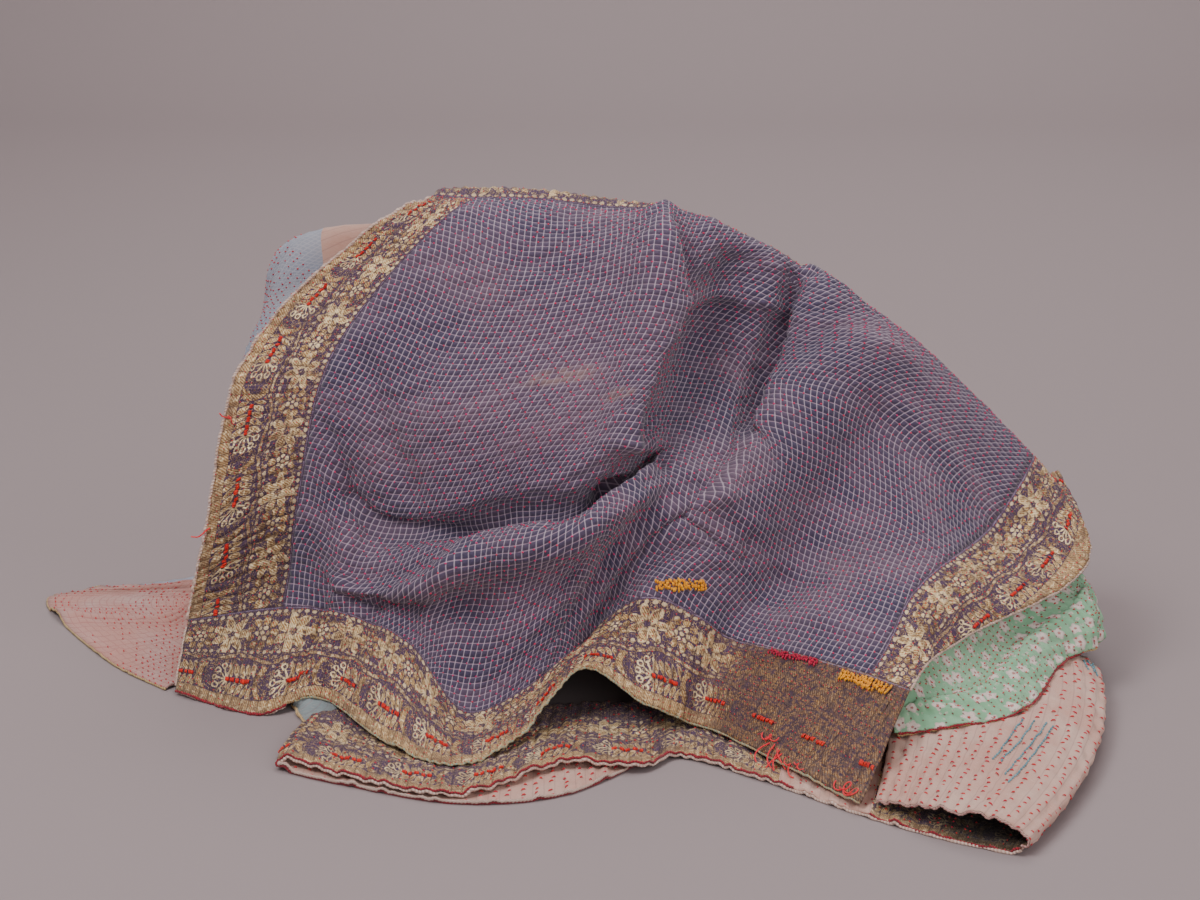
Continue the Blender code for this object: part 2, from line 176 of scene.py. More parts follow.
# ---------------------------------------------------------------- finer folds of the cloth
# A crease follows its places on the ply, across and along. To the left of the way it goes, and to the
# right, it dies away over those widths. It stands out by its rise, or sinks where that is negative. A third
# number at a place is the share of the rise there.
#   left, right, rise, places
UPPER_CREASES = (
    # lip of the big face, the line under it, the roll below and its far side
    (40, 30, 8, ((190, 345), (330, 325))),
    (34, 5, -13, ((128, 258), (168, 259), (209, 257), (264, 250), (310, 246, 0.9), (338, 242, 0.7),
        (375, 245, 0.6), (402, 251))),
    (4, 5, -6, ((140, 257, 0.3), (168, 257), (209, 255), (264, 248), (338, 240, 0.8),
        (375, 243, 0.5))),
    (9, 13, 5.5, ((165, 243, 0.3), (215, 240), (262, 235), (300, 230), (350, 231))),
    (12, 20, 10, ((204, 160, 0.1), (232, 190, 0.8), (269, 206), (301, 209), (352, 215), (400, 222))),
    (12, 12, -7, ((188, 180, 0.3), (192, 120), (187, 80), (178, 40), (165, 0))),
    (10, 13, 6, ((140, 245), (148, 180), (150, 110))),
    (11, 11, -8, ((112, 375), (150, 322), (190, 290))),
    (8, 8, -5, ((98, 300), (128, 264))),
    (30, 16, -6, ((280, 170), (400, 175))),
    # right edge of the big face and the shade beside it
    (5, 45, 15, ((330, 528, 0), (348, 500, 0.6), (378, 444), (378, 388), (390, 330), (399, 303))),
    (28, 4.5, -12, ((341, 528, 0.3), (359, 500, 0.7), (389, 444), (389, 388), (401, 330), (412, 310))),
    # curled hollow and the lip round it
    (5, 5, 8, ((402, 300), (435, 288), (453, 275), (455, 252), (440, 238), (416, 236))),
    (7, 7, -18, ((443, 272), (430, 264), (420, 257), (404, 251))),
    # recess with its cross ridge, and the long crease that bounds it
    (14, 10, 7, ((395, 440), (430, 441), (463, 448), (490, 465))),
    (30, 30, -6, ((440, 420), (468, 360), (485, 285))),
    (45, 5, 13, ((492, 560, 0.4), (510, 476), (527, 422), (534, 360), (527, 302), (515, 244))),
    (4.5, 28, -11, ((484, 560, 0.3), (502, 476), (519, 422), (526, 360), (519, 302), (506, 240))),
    (15, 20, -12, ((500, 215), (484, 165), (465, 120), (448, 90))),
    # ridge at the right of it, the valley beyond and the right panel
    (24, 24, 9, ((575, 470), (572, 380), (560, 300), (550, 220), (545, 150), (532, 90))),
    (22, 22, -5, ((606, 400), (606, 330), (602, 230))),
    (14, 11, -11, ((598, 200), (594, 150), (591, 100), (588, 57), (580, 0))),
    (30, 30, 5, ((636, 420), (632, 260), (629, 140))),
    # raised edge of the back border behind the ridge, and the hollow before it
    (11, 11, 13, ((0, 580, 0.8), (100, 581), (180, 580, 0.7), (300, 578, 0.2))),
    (16, 16, -6, ((120, 556, 0), (220, 557), (285, 555), (305, 552, 0))),
    # small tucks and swells
    (3, 3, -5.5, ((509, 203), (528, 200), (541, 192))),
    (3, 3, -4.5, ((560, 214), (566, 192))),
    (10, 10, 4.5, ((320, 575), (322, 545))),
    (8, 8, 2.2, ((378, 580), (381, 545))),
    (12, 12, -3, ((190, 470), (330, 455))),
    (8, 8, -4, ((140, 130), (190, 120))),
    (10, 10, 3.5, ((260, 110), (250, 180))),
    (9, 9, 3.5, ((395, 100), (430, 160))),
    (35, 35, -9, ((0, 375), (10, 470))),
)
# Turn of the reverse in the arch of the front hem: places at the hem and at the floor, counted from the
# middle of the heap.
POCKET_RIBS = (
    ((-221.5, -56, 9), (-225, -45, 1.2)),
    ((-216.5, -56, 11), (-217.5, -70, 1.2)),
    ((-207.5, -55.5, 13), (-207.5, -92, 1.2)),
    ((-196, -56.5, 11), (-196.5, -95, 1.2)),
    ((-184, -78, 14), (-183, -92, 1.2)),
)
CLOTH_THICKNESS = 0.0022
ROW_PITCH = 0.0054        # space between two rows of running stitches, and between two check lines
REPEAT = 0.058            # repeat of the brocade along an edge
BAND = 0.090              # width of the brocade that its pattern is laid out on
GROOVE_PITCH = 0.0086     # space between the grooves that the stitches pull into borders and reverse
FOLD_PITCH = 0.0112       # the same in the front fold, where the stitches are wider apart
SPRAY_AT = 24.5           # from the hem to the middle of the row of sprays, in millimetres
WAVE_AT = 43.5            # from the hem to the waving band
BLOOM_AT = 66.0           # from the hem to the middle of the row of blooms
SEAM_AT = 88.6            # from the hem to the line at the seam
SEAM_EASE = 0.008         # space beside a seam in which the small relief dies away
CREASE_END = 0.014        # how far a crease runs on past its end places
LOWEST_MIDDLE = 0.0012    # middle of an edging that lies on the floor
WHIP_PITCH = 0.0030       # space between the wraps of an overcast edge


# ---------------------------------------------------------------- surfaces
def metres(values):
    """Millimetres turned into metres, as an array."""
    return np.array(values, float) / 1000.0


def spline(knots, values, where):
    """Smooth curve through the values, which stand at the knots; values may be an array of points."""
    knots = np.asarray(knots, float)
    values = np.asarray(values, float)
    slopes = np.empty_like(values)
    shape = (-1,) + (1,) * (values.ndim - 1)
    chords = (values[1:] - values[:-1]) / (knots[1:] - knots[:-1]).reshape(shape)
    gaps = (knots[1:] - knots[:-1]).reshape(shape)
    slopes[0] = chords[0]
    slopes[-1] = chords[-1]
    slopes[1:-1] = (chords[:-1] * gaps[1:] + chords[1:] * gaps[:-1]) / (gaps[1:] + gaps[:-1])
    where = np.asarray(where, float)
    cell = np.clip(np.searchsorted(knots, where, side="right") - 1, 0, len(knots) - 2)
    step = (knots[cell + 1] - knots[cell]).reshape(shape)
    part = ((where - knots[cell]) / (knots[cell + 1] - knots[cell])).reshape(shape)
    first = (1 + 2 * part) * (1 - part) ** 2
    last = part ** 2 * (3 - 2 * part)
    return (first * values[cell] + last * values[cell + 1]
            + part * (1 - part) ** 2 * step * slopes[cell]
            - part ** 2 * (1 - part) * step * slopes[cell + 1])


def upper_base(across, along):
    """Grid of points of the upper ply before its folds, for lists of distances across and along."""
    lines = spline(metres(ALONG), metres(RIBS).transpose(1, 0, 2), along)
    return spline(metres(RIB_AT), lines.transpose(1, 0, 2), across)


def fold_height(across, along, folds):
    """Height of the folds at each place of a grid."""
    total = np.zeros(across.shape)
    for across0, along0, across1, along1, width, rise in metres(folds):
        run = np.array((across1 - across0, along1 - along0))
        length = float(np.hypot(*run))
        run = run / length
        forward = (across - across0) * run[0] + (along - along0) * run[1]
        aside = (across - across0) * run[1] - (along - along0) * run[0]
        beyond = np.maximum(0.0, np.maximum(-forward, forward - length))
        total += rise * np.exp(-(aside / width) ** 2 - (beyond / (1.6 * width)) ** 2)
    return total


def crease_height(across, along, creases):
    """Height of the creases at each place of a grid."""
    total = np.zeros(across.shape)
    for left, right, rise, places in creases:
        spots = metres([place[:2] for place in places])
        shares = [place[2] if len(place) > 2 else 1.0 for place in places]
        nearest = np.full(across.shape, 9.0)
        height = np.zeros(across.shape)
        last = len(places) - 2
        for number, (start, end) in enumerate(zip(spots[:-1], spots[1:])):
            run = end - start
            length = float(np.hypot(*run))
            run = run / length
            forward = (across - start[0]) * run[0] + (along - start[1]) * run[1]
            aside = (along - start[1]) * run[0] - (across - start[0]) * run[1]
            over = np.maximum(0.0, np.maximum(-forward, forward - length))
            apart = np.hypot(aside, over)
            part = np.clip(forward / length, 0.0, 1.0)
            share = (1 - part) * shares[number] + part * shares[number + 1]
            at_end = ((forward < 0) & (number == 0)) | ((forward > length) & (number == last))
            width = np.where(aside > 0, left / 1000.0, right / 1000.0)
            ended = np.exp(-(aside / width) ** 2 - (over / CREASE_END) ** 2)
            shape = np.where(at_end, ended, np.exp(-(apart / width) ** 2))
            closer = apart < nearest
            height = np.where(closer, shape * share, height)
            nearest = np.where(closer, apart, nearest)
        total += rise / 1000.0 * height
    return total


def upper_folded(across, along):
    """Grid of points of the upper ply with its folds, which stand out along the surface's own normal."""
    small = 0.004
    points = upper_base(across, along)
    right = upper_base(np.add(across, small), along) - upper_base(np.subtract(across, small), along)
    back = upper_base(across, np.add(along, small)) - upper_base(across, np.subtract(along, small))
    normal = np.cross(right, back)
    normal /= np.linalg.norm(normal, axis=2, keepdims=True)
    grid_across, grid_along = np.meshgrid(across, along, indexing="ij")
    return points + normal * fold_height(grid_across, grid_along, UPPER_FOLDS)[..., None]


def under_upper(across, along, space):
    """The point under the upper ply at one place, where the middle of a sheet lies that far below it."""
    steps = np.array((-0.003, 0.0, 0.003))
    spots = upper_folded(across + steps, along + steps)
    normal = np.cross(spots[2, 1] - spots[0, 1], spots[1, 2] - spots[1, 0])
    normal /= np.linalg.norm(normal)
    return spots[1, 1] - normal * (CLOTH_THICKNESS + space)


def crumple(first, second, waves, seed):
    """Small uneven waves of a height near 1; waves are the shortest and longest over each distance."""
    draw = np.random.RandomState(seed)
    total = np.zeros(first.shape)
    count = 14
    for _ in range(count):
        over_first = draw.uniform(*waves[0]) * draw.choice((-1, 1))
        over_second = draw.uniform(*waves[1])
        total += np.sin(2 * np.pi * (first / over_first + second / over_second) + draw.uniform(0, 6.28))
    return total / math.sqrt(count)


def puffs(over, beside, pitch, seed):
    """Height of the puffs between stitch lines, which stand a pitch apart over the first distance."""
    wander = 0.10 * pitch * crumple(over, beside, ((0.03, 0.12), (0.02, 0.09)), seed)
    puff = np.abs(np.sin(np.pi * (over + wander) / pitch)) ** 1.5 - 0.56
    uneven = 0.80 + 0.38 * crumple(over, beside, ((0.010, 0.06), (0.012, 0.05)), seed + 1)
    return puff * np.clip(uneven, 0.1, 1.6)


def travelled(points):
    """Lengths from the first point to each of the others, over the first axis of an array of points."""
    steps = np.linalg.norm(np.diff(points, axis=0), axis=-1)
    return np.concatenate((np.zeros((1, *steps.shape[1:])), np.cumsum(steps, axis=0)))


class Ply:
    """One sheet of cloth: its points over two distances on it, read between the points where needed."""

    def __init__(self, first, second, points, face_up=True):
        self.first = np.asarray(first, float)
        self.second = np.asarray(second, float)
        self.sign = 1.0 if face_up else -1.0
        self.points = points
        self.normals = self.find_normals()
        self.run_first, self.run_second = self.grid()

    def find_normals(self):
        """The way out of the cloth at each point."""
        over_first = np.gradient(self.points, axis=0)
        over_second = np.gradient(self.points, axis=1)
        normals = np.cross(over_first, over_second) * self.sign
        return normals / np.maximum(np.linalg.norm(normals, axis=2, keepdims=True), 1e-12)

    def raise_by(self, height):
        """Moves every point along its normal, and keeps the cloth off the floor."""
        self.points = self.points + self.normals * height[..., None]
        self.points[..., 2] = np.maximum(self.points[..., 2], CLOTH_THICKNESS / 2)
        self.normals = self.find_normals()

    def grid(self):
        """The two distances at each point."""
        return np.meshgrid(self.first, self.second, indexing="ij")

    def true_first(self, start):
        """Lengths along the cloth over the first distance, counted from start."""
        total = travelled(self.points)
        return total - total[int(np.searchsorted(self.first, start))]

    def true_second(self, start):
        """Lengths along the cloth over the second distance, counted from start."""
        total = travelled(self.points.transpose(1, 0, 2)).T
        return total - total[:, [int(np.searchsorted(self.second, start))]]

    def read(self, table, first, second):
        """What a table of the points says at distances between them."""
        row = np.interp(first, self.first, np.arange(len(self.first)))
        column = np.interp(second, self.second, np.arange(len(self.second)))
        i = np.clip(row.astype(int), 0, len(self.first) - 2)
        j = np.clip(column.astype(int), 0, len(self.second) - 2)
        a = row - i
        b = column - j
        if table.ndim == 3:
            a, b = a[..., None], b[..., None]
        return ((table[i, j] * (1 - a) + table[i + 1, j] * a) * (1 - b)
                + (table[i, j + 1] * (1 - a) + table[i + 1, j + 1] * a) * b)

    def find(self, run_first, run_second):
        """The distances of the grid at true lengths on the cloth, and whether they are on this sheet."""
        tables, goals = [self.run_first, self.run_second], [run_first, run_second]
        if np.ptp(self.run_first, axis=0).mean() < np.ptp(self.run_first, axis=1).mean():
            tables, goals = tables[::-1], goals[::-1]
        first = np.full(run_first.shape, self.first.mean())
        second = np.full(run_first.shape, self.second.mean())
        rate_first = (self.first[-1] - self.first[0]) / (tables[0][-1] - tables[0][0]).mean()
        rate_second = (self.second[-1] - self.second[0]) / (tables[1][:, -1] - tables[1][:, 0]).mean()
        rounds, pace, near_enough = 24, 0.8, 0.0006
        for _ in range(rounds):
            first = first + (goals[0] - self.read(tables[0], first, second)) * rate_first * pace
            second = second + (goals[1] - self.read(tables[1], first, second)) * rate_second * pace
            first = np.clip(first, self.first[0], self.first[-1])
            second = np.clip(second, self.second[0], self.second[-1])
        missed = np.hypot(goals[0] - self.read(tables[0], first, second),
                          goals[1] - self.read(tables[1], first, second))
        return first, second, missed < near_enough

    def at(self, first, second):
        """Points of the middle of the cloth."""
        return self.read(self.points, np.asarray(first, float), np.asarray(second, float))

    def out(self, first, second):
        """The way out of the cloth at those points."""
        return self.read(self.normals, np.asarray(first, float), np.asarray(second, float))

    def skin(self, first, second, side=1.0):
        """Points on one skin of the cloth."""
        return self.at(first, second) + self.out(first, second) * side * (CLOTH_THICKNESS / 2)


def evened(table, places, reach):
    """The table with each column averaged over its neighbours, as threads lie straight in cloth."""
    gaps = np.gradient(places)
    shares = np.exp(-((places[:, None] - places[None]) / reach) ** 2) * gaps[None]
    return (shares / shares.sum(axis=1, keepdims=True)) @ table


def even(start, end, cell):
    """Distances from start to end about a cell apart."""
    return np.linspace(start, end, max(2, round((end - start) / cell)) + 1)


def hem_flutter(from_hem, along_hem, reach, seed):
    """Height of the small waves along a hem, which die away over their reach."""
    waves = crumple(along_hem, from_hem, ((0.020, 0.055), (0.15, 0.40)), seed)
    return waves * np.exp(-(np.maximum(from_hem, 0.0) / reach) ** 2)


def rough(ply, height, seed):
    """Small creases of the stitched cloth."""
    return height * crumple(ply.run_first, ply.run_second, ((0.018, 0.060), (0.012, 0.035)), seed)


def upper_part(across, along):
    """One part of the upper ply before its small relief."""
    ply = Ply(across, along, upper_folded(across, along) - CENTRE)
    ply.raise_by(crease_height(*ply.grid(), UPPER_CREASES))
    return ply


def check_field():
    """The checked middle of the upper ply, with finer cells where its creases are sharp."""
    quilt = bpy.context.scene.quilt
    fine = quilt.cell_long
    coarse = fine * 1.8
    sharp_start, sharp_end = 0.36, 0.56
    across = np.concatenate((even(SIDE_BORDER, sharp_start, coarse)[:-1],
                             even(sharp_start, sharp_end, fine)[:-1], even(sharp_end, RIGHT_SEAM, coarse)))
    ply = upper_part(across, even(FRONT_BORDER, BACK_SEAM, quilt.cell_short))
    count_across, count_along = 0.40, 0.30
    reach_along, reach_across = 0.045, 0.035
    ply.run_first = evened(ply.true_first(count_across).T, ply.second, reach_along).T
    ply.run_second = evened(ply.true_second(count_along), ply.first, reach_across)
    grid_across, grid_along = ply.grid()
    near_seam = np.minimum(np.minimum(grid_across - SIDE_BORDER, RIGHT_SEAM - grid_across),
                           np.minimum(grid_along - FRONT_BORDER, BACK_SEAM - grid_along))
    inside = np.clip(near_seam / SEAM_EASE, 0.0, 1.0)
    height = quilt.puff * puffs(ply.run_second, ply.run_first, ROW_PITCH, 11) + rough(ply, 0.00065, 12)
    ply.raise_by(height * inside)
    return ply


def border(side):
    """The brocade of one side; its run_second counts in from the hem, on a band of even width."""
    quilt = bpy.context.scene.quilt
    if side in ("front", "back"):
        ends = (0.0, FRONT_BORDER) if side == "front" else (BACK_SEAM, LENGTH)
        ply = upper_part(even(0.0, WIDTH, quilt.cell_border), even(*ends, quilt.cell_deep))
        grid_across, grid_along = ply.grid()
        middle = len(ply.second) // 2
        length = ply.true_first(0.0)[:, [middle]] + np.zeros(grid_across.shape)
        part = grid_along / FRONT_BORDER if side == "front" else (LENGTH - grid_along) / BACK_BORDER
    else:
        ends = (0.0, SIDE_BORDER) if side == "left" else (RIGHT_SEAM, WIDTH)
        ply = upper_part(even(*ends, quilt.cell_deep), even(FRONT_BORDER, BACK_SEAM, quilt.cell_border))
        grid_across, grid_along = ply.grid()
        middle = len(ply.first) // 2
        length = ply.true_second(FRONT_BORDER)[[middle], :] + np.zeros(grid_across.shape)
        part = grid_across / SIDE_BORDER
        if side == "right":
            part = 1.0 - ply.true_first(RIGHT_SEAM) / SIDE_BORDER
    ply.run_first = length
    ply.run_second = part * BAND
    from_hem = np.maximum(ply.run_second, 0.0)
    inside = np.clip((BAND - from_hem) / SEAM_EASE, 0.0, 1.0)
    if side in ("left", "right"):
        corner = np.minimum(grid_along - FRONT_BORDER, BACK_SEAM - grid_along)
        inside *= np.clip(corner / SEAM_EASE, 0.0, 1.0)
    seed = {"front": 51, "back": 54, "left": 57, "right": 60}[side]
    height = quilt.border_puff * puffs(length, from_hem, GROOVE_PITCH, seed) + rough(ply, 0.0005, seed + 1)
    ply.raise_by(height * inside + 0.0012 * hem_flutter(from_hem, length, 0.022, seed + 2) * inside)
    return ply


def lower_ply():
    """The lower ply, round the heap and up it; its first distance is 0.1 m from rib to rib."""
    quilt = bpy.context.scene.quilt
    rib_places = np.arange(len(LOWER_RIBS)) * RIB_STEP
    places = np.linspace(0.0, rib_places[-1], quilt.round_cells + 1)
    free = spline(rib_places, metres([rib[:4] for rib in LOWER_RIBS]), places)
    covered = spline(rib_places, metres([rib[4:6] for rib in LOWER_RIBS]), places)
    spaces = spline(rib_places, metres([rib[6] for rib in LOWER_RIBS]), places)
    seated = np.array([[under_upper(*spot, space) for spot in rib] for rib, space in zip(covered, spaces)])
    ribs = np.concatenate((free, seated), axis=1)
    shown = LOWER_UP[-1] * SHOWN_SHARE
    heights = np.concatenate((even(0.0, shown, quilt.cell_up)[:-1], even(shown, LOWER_UP[-1], 0.010)))
    points = spline(LOWER_UP, ribs.transpose(1, 0, 2), heights).transpose(1, 0, 2)
    ply = Ply(places, heights, points - CENTRE, face_up=False)
    grid_round, grid_up = ply.grid()
    ply.raise_by(fold_height(grid_round, grid_up, LOWER_FOLDS))
    count_round, line_up = 0.7, 0.10
    low = int(np.searchsorted(heights, line_up))
    ply.run_first = ply.true_first(count_round)[:, [low]] + np.zeros(grid_up.shape)
    ply.run_second = ply.true_second(0.0)
    loose = np.clip((shown - grid_up) / 0.06, 0.0, 1.0)
    height = quilt.border_puff * puffs(ply.run_first, ply.run_second, GROOVE_PITCH, 21)
    height += rough(ply, 0.0008, 22) + 0.0010 * hem_flutter(ply.run_second, ply.run_first, 0.020, 23)
    ply.raise_by(height * loose)
    return ply


def front_fold():
    """The run of cloth that zigzags under the front hem, along the cloth and back from its front edge."""
    quilt = bpy.context.scene.quilt
    sections = metres([row[:2] for row in FRONT_SECTIONS])
    bulges = metres([row[2] for row in FRONT_SECTIONS])
    middle = sections.mean(axis=1)
    lengths = np.linalg.norm(np.diff(middle, axis=0), axis=1)
    knots = np.concatenate(([0.0], np.cumsum(np.sqrt(lengths))))
    fine = np.linspace(0.0, knots[-1], 40 * len(knots))
    run = travelled(spline(knots, middle, fine))
    places = even(0.0, run[-1], quilt.cell_border)
    where = np.interp(places, run, fine)
    edges = spline(knots, sections, where)
    bulge = spline(knots, bulges, where)
    parts = np.linspace(0.0, 1.0, quilt.fold_cells + 1)
    depth = parts[None, :, None]
    points = edges[:, :1] * (1 - depth) + edges[:, 1:] * depth
    points[..., 0] += bulge[:, None] * 4 * depth[..., 0] * (1 - depth[..., 0])
    ply = Ply(places, parts, points - CENTRE)
    ply.run_second = ply.true_second(0.0)
    height = quilt.border_puff * puffs(ply.run_first, ply.run_second, FOLD_PITCH, 31)
    height += rough(ply, 0.0006, 32) + 0.0011 * hem_flutter(ply.run_second, ply.run_first, 0.018, 33)
    ply.raise_by(height)
    return ply


def hem_pocket():
    """The small turn of the reverse in the arch of the front hem, from the hem down to the floor."""
    ribs = metres(POCKET_RIBS)
    places = np.linspace(0.0, 1.0, len(ribs))
    across = np.linspace(0.0, 1.0, 31)
    down = np.linspace(0.0, 1.0, 15)[None, :, None]
    tops = spline(places, ribs[:, 0], across)[:, None]
    feet = spline(places, ribs[:, 1], across)[:, None]
    points = tops * (1 - down) + feet * down
    points[..., 2] -= 0.004 * np.sin(np.pi * down[..., 0])
    ply = Ply(across, down.ravel(), points, face_up=False)
    ply.run_first = ply.true_first(0.0)
    ply.run_second = ply.true_second(0.0)
    ply.raise_by(0.0007 * crumple(ply.run_first, ply.run_second, ((0.012, 0.03), (0.02, 0.05)), 38))
    return ply


# ---------------------------------------------------------------- meshes
def keep_values(mesh, name, values):
    """Keeps a number or a vector at each point of a mesh, for its material."""
    values = np.asarray(values, np.float32)
    kind, field = ("FLOAT_VECTOR", "vector") if values.ndim > 1 else ("FLOAT", "value")
    kept = mesh.attributes.new(name, kind, "POINT")
    kept.data.foreach_set(field, values.reshape(-1))


def placed(name, data):
    """An object in the scene for a mesh, a light or a camera."""
    made = bpy.data.objects.new(name, data)
    bpy.context.scene.collection.objects.link(made)
    return made


def smooth_object(mesh, looks):
    """An object for a mesh, smooth all over, with its materials."""
    mesh.polygons.foreach_set("use_smooth", np.ones(len(mesh.polygons), bool))
    for look in looks:
        mesh.materials.append(look)
    mesh.update()
    return placed(mesh.name, mesh)


def sheet_object(name, ply, looks, behind=1):
    """A cloth from a ply, thickened about itself, with its true lengths at each point for the materials."""
    points = ply.points
    spots = np.stack((ply.run_first, ply.run_second, np.zeros(ply.run_first.shape)), axis=2)
    if ply.sign > 0:
        points = points.transpose(1, 0, 2)
        spots = spots.transpose(1, 0, 2)
    shape = bmesh.new()
    bmesh.ops.create_grid(shape, x_segments=points.shape[1] - 1, y_segments=points.shape[0] - 1, size=1.0)
    mesh = bpy.data.meshes.new(name)
    shape.to_mesh(mesh)
    shape.free()
    mesh.vertices.foreach_set("co", points.reshape(-1))
    keep_values(mesh, "place", spots.reshape(-1, 3))
    made = smooth_object(mesh, looks)
    thick = made.modifiers.new("thickness", "SOLIDIFY")
    thick.thickness = CLOTH_THICKNESS
    thick.offset = 0.0
    thick.use_even_offset = False
    thick.material_offset = behind
    return made


def stitch_mesh(starts, ends, normals, width, lift, rings, draw):
    """Points, faces and shades of stitches, each a thread that dives into the cloth at both ends."""
    count = len(starts)
    run = ends - starts
    side = np.cross(run, normals)
    side /= np.maximum(np.linalg.norm(side, axis=1, keepdims=True), 1e-9)
    sides = 4
    risen, flat = 0.6, 0.9
    turns = np.linspace(0, 2 * np.pi, sides, endpoint=False)
    levels = (np.arange(rings) + 1) / (rings + 1)
    points = [starts - normals * lift * risen]
    for level in levels:
        middle = starts + run * level + normals * lift * math.sin(math.pi * level) ** 0.5 * risen
        for turn in turns:
            round_thread = side * math.cos(turn) + normals * math.sin(turn) * flat
            points.append(middle + width / 2 * round_thread)
    points.append(ends - normals * lift * risen)
    points = np.stack(points, axis=1)
    each = points.shape[1]
    last = 1 + sides * (rings - 1)
    faces = []
    for k in range(sides):
        after = (k + 1) % sides
        faces.append((0, 1 + after, 1 + k, 1 + k))
        faces.append((each - 1, last + k, last + after, last + after))
        for ring in range(rings - 1):
            low = 1 + sides * ring
            high = low + sides
            faces.append((low + k, low + after, high + after, high + k))
    faces = np.array(faces)
    whole = (faces[None] + (np.arange(count) * each)[:, None, None]).reshape(-1, 4)
    shades = np.repeat(draw.uniform(0, 1, count), each)
    return points, whole, shades


def stitches(name, parts, look, seed, rings=1):
    """One joined mesh of stitches; each part holds starts, ends, normals, width and lift."""
    draw = np.random.RandomState(seed)
    points, faces, shades = [], [], []
    base = 0
    for starts, ends, normals, width, lift in parts:
        made = stitch_mesh(starts, ends, normals, width, lift, rings, draw)
        points.append(made[0].reshape(-1, 3))
        faces.append(made[1] + base)
        shades.append(made[2])
        base += len(points[-1])
    faces = [tuple(dict.fromkeys(face)) for face in np.concatenate(faces).tolist()]
    mesh = bpy.data.meshes.new(name)
    mesh.from_pydata(np.concatenate(points).tolist(), [], faces)
    keep_values(mesh, "shade", np.concatenate(shades))
    return smooth_object(mesh, [look])


def running_rows(ply, pitch, period, length, draw, width, lift, keep, side=1.0, stagger=0.15, shift=0.0):
    """Rows of running stitches a pitch apart; every second row is moved by a shift of the period."""
    rows = np.arange(math.ceil(ply.run_second.min() / pitch), ply.run_second.max() / pitch) * pitch
    spots = np.arange(math.ceil(ply.run_first.min() / period), ply.run_first.max() / period) * period
    run_second, run_first = (part.ravel() for part in np.meshgrid(rows, spots, indexing="ij"))
    run_first = run_first + (np.round(run_second / pitch) % 2) * period * shift
    chosen = draw.uniform(0, 1, len(run_first)) < keep
    run_first, run_second = run_first[chosen], run_second[chosen]
    count = len(run_first)
    run_first = run_first + draw.normal(0, stagger, count) * period
    run_second = run_second + draw.normal(0, 0.09, count) * pitch
    reach = length * draw.uniform(0.7, 1.3, count)
    run_first = run_first - reach / 2
    slant = draw.normal(0, 0.12, count) * length
    first, second, on_sheet = ply.find(run_first, run_second)
    first_end, second_end, end_on = ply.find(run_first + reach, run_second + slant)
    starts, ends = ply.skin(first, second, side), ply.skin(first_end, second_end, side)
    good = on_sheet & end_on & (np.linalg.norm(ends - starts, axis=1) < 1.6 * length)
    return starts[good], ends[good], ply.out(first, second)[good] * side, width, lift


def tube(name, line, radius, look, normals=None):
    """A closed tube round a line of points, for edgings and loose threads."""
    sides = 5
    line = np.asarray(line, float)
    run = np.gradient(line, axis=0)
    run /= np.maximum(np.linalg.norm(run, axis=1, keepdims=True), 1e-9)
    guide = normals if normals is not None else np.broadcast_to((0.0, 0.0, 1.0), line.shape)
    side = np.cross(run, guide)
    side /= np.maximum(np.linalg.norm(side, axis=1, keepdims=True), 1e-6)
    up = np.cross(side, run)
    turns = np.linspace(0, 2 * np.pi, sides, endpoint=False)
    radii = np.broadcast_to(np.asarray(radius, float), (len(line),))[:, None]
    rings = [line + radii * (side * math.cos(turn) + up * math.sin(turn)) for turn in turns]
    points = np.stack(rings, axis=1)
    count = len(line)
    faces = []
    for i in range(count - 1):
        low, high = i * sides, (i + 1) * sides
        for k in range(sides):
            after = (k + 1) % sides
            faces.append((low + k, low + after, high + after, high + k))
    faces.append(tuple(range(sides))[::-1])
    faces.append(tuple((count - 1) * sides + k for k in range(sides)))
    mesh = bpy.data.meshes.new(name)
    mesh.from_pydata(points.reshape(-1, 3).tolist(), [], faces)
    spots = np.zeros((count, sides, 3))
    spots[..., 0] = travelled(line)[:, None]
    spots[..., 1] = turns[None] * radii
    keep_values(mesh, "shade", np.repeat(np.linspace(0, 1, count), sides))
    keep_values(mesh, "place", spots.reshape(-1, 3))
    return smooth_object(mesh, [look])


def sewn(ply, lines, width, lift, side=1.0):
    """Stitches between places on a cloth; each line is its true lengths at the start and at the end."""
    lines = np.asarray(lines, float)
    first, second, here = ply.find(lines[:, 0], lines[:, 1])
    first_end, second_end, there = ply.find(lines[:, 2], lines[:, 3])
    good = here & there
    return (ply.skin(first[good], second[good], side), ply.skin(first_end[good], second_end[good], side),
            ply.out(first[good], second[good]) * side, width, lift)


def edge_line(ply, edge, start, end, beyond, above):
    """Points just outside one edge of a cloth, from start to end along it, and the normals there."""
    if edge == "hem":
        rows = (ply.first >= start) & (ply.first <= end)
        rim, inner, out = ply.points[rows, 0], ply.points[rows, 2], ply.normals[rows, 0]
    else:
        rows = (ply.second >= start) & (ply.second <= end)
        last, next_in = (0, 2) if edge == "left" else (-1, -3)
        rim, inner, out = ply.points[last, rows], ply.points[next_in, rows], ply.normals[last, rows]
    outward = rim - inner
    outward /= np.linalg.norm(outward, axis=1, keepdims=True)
    line = rim + outward * beyond + out * above
    line[:, 2] = np.maximum(line[:, 2], LOWEST_MIDDLE)
    return line, out


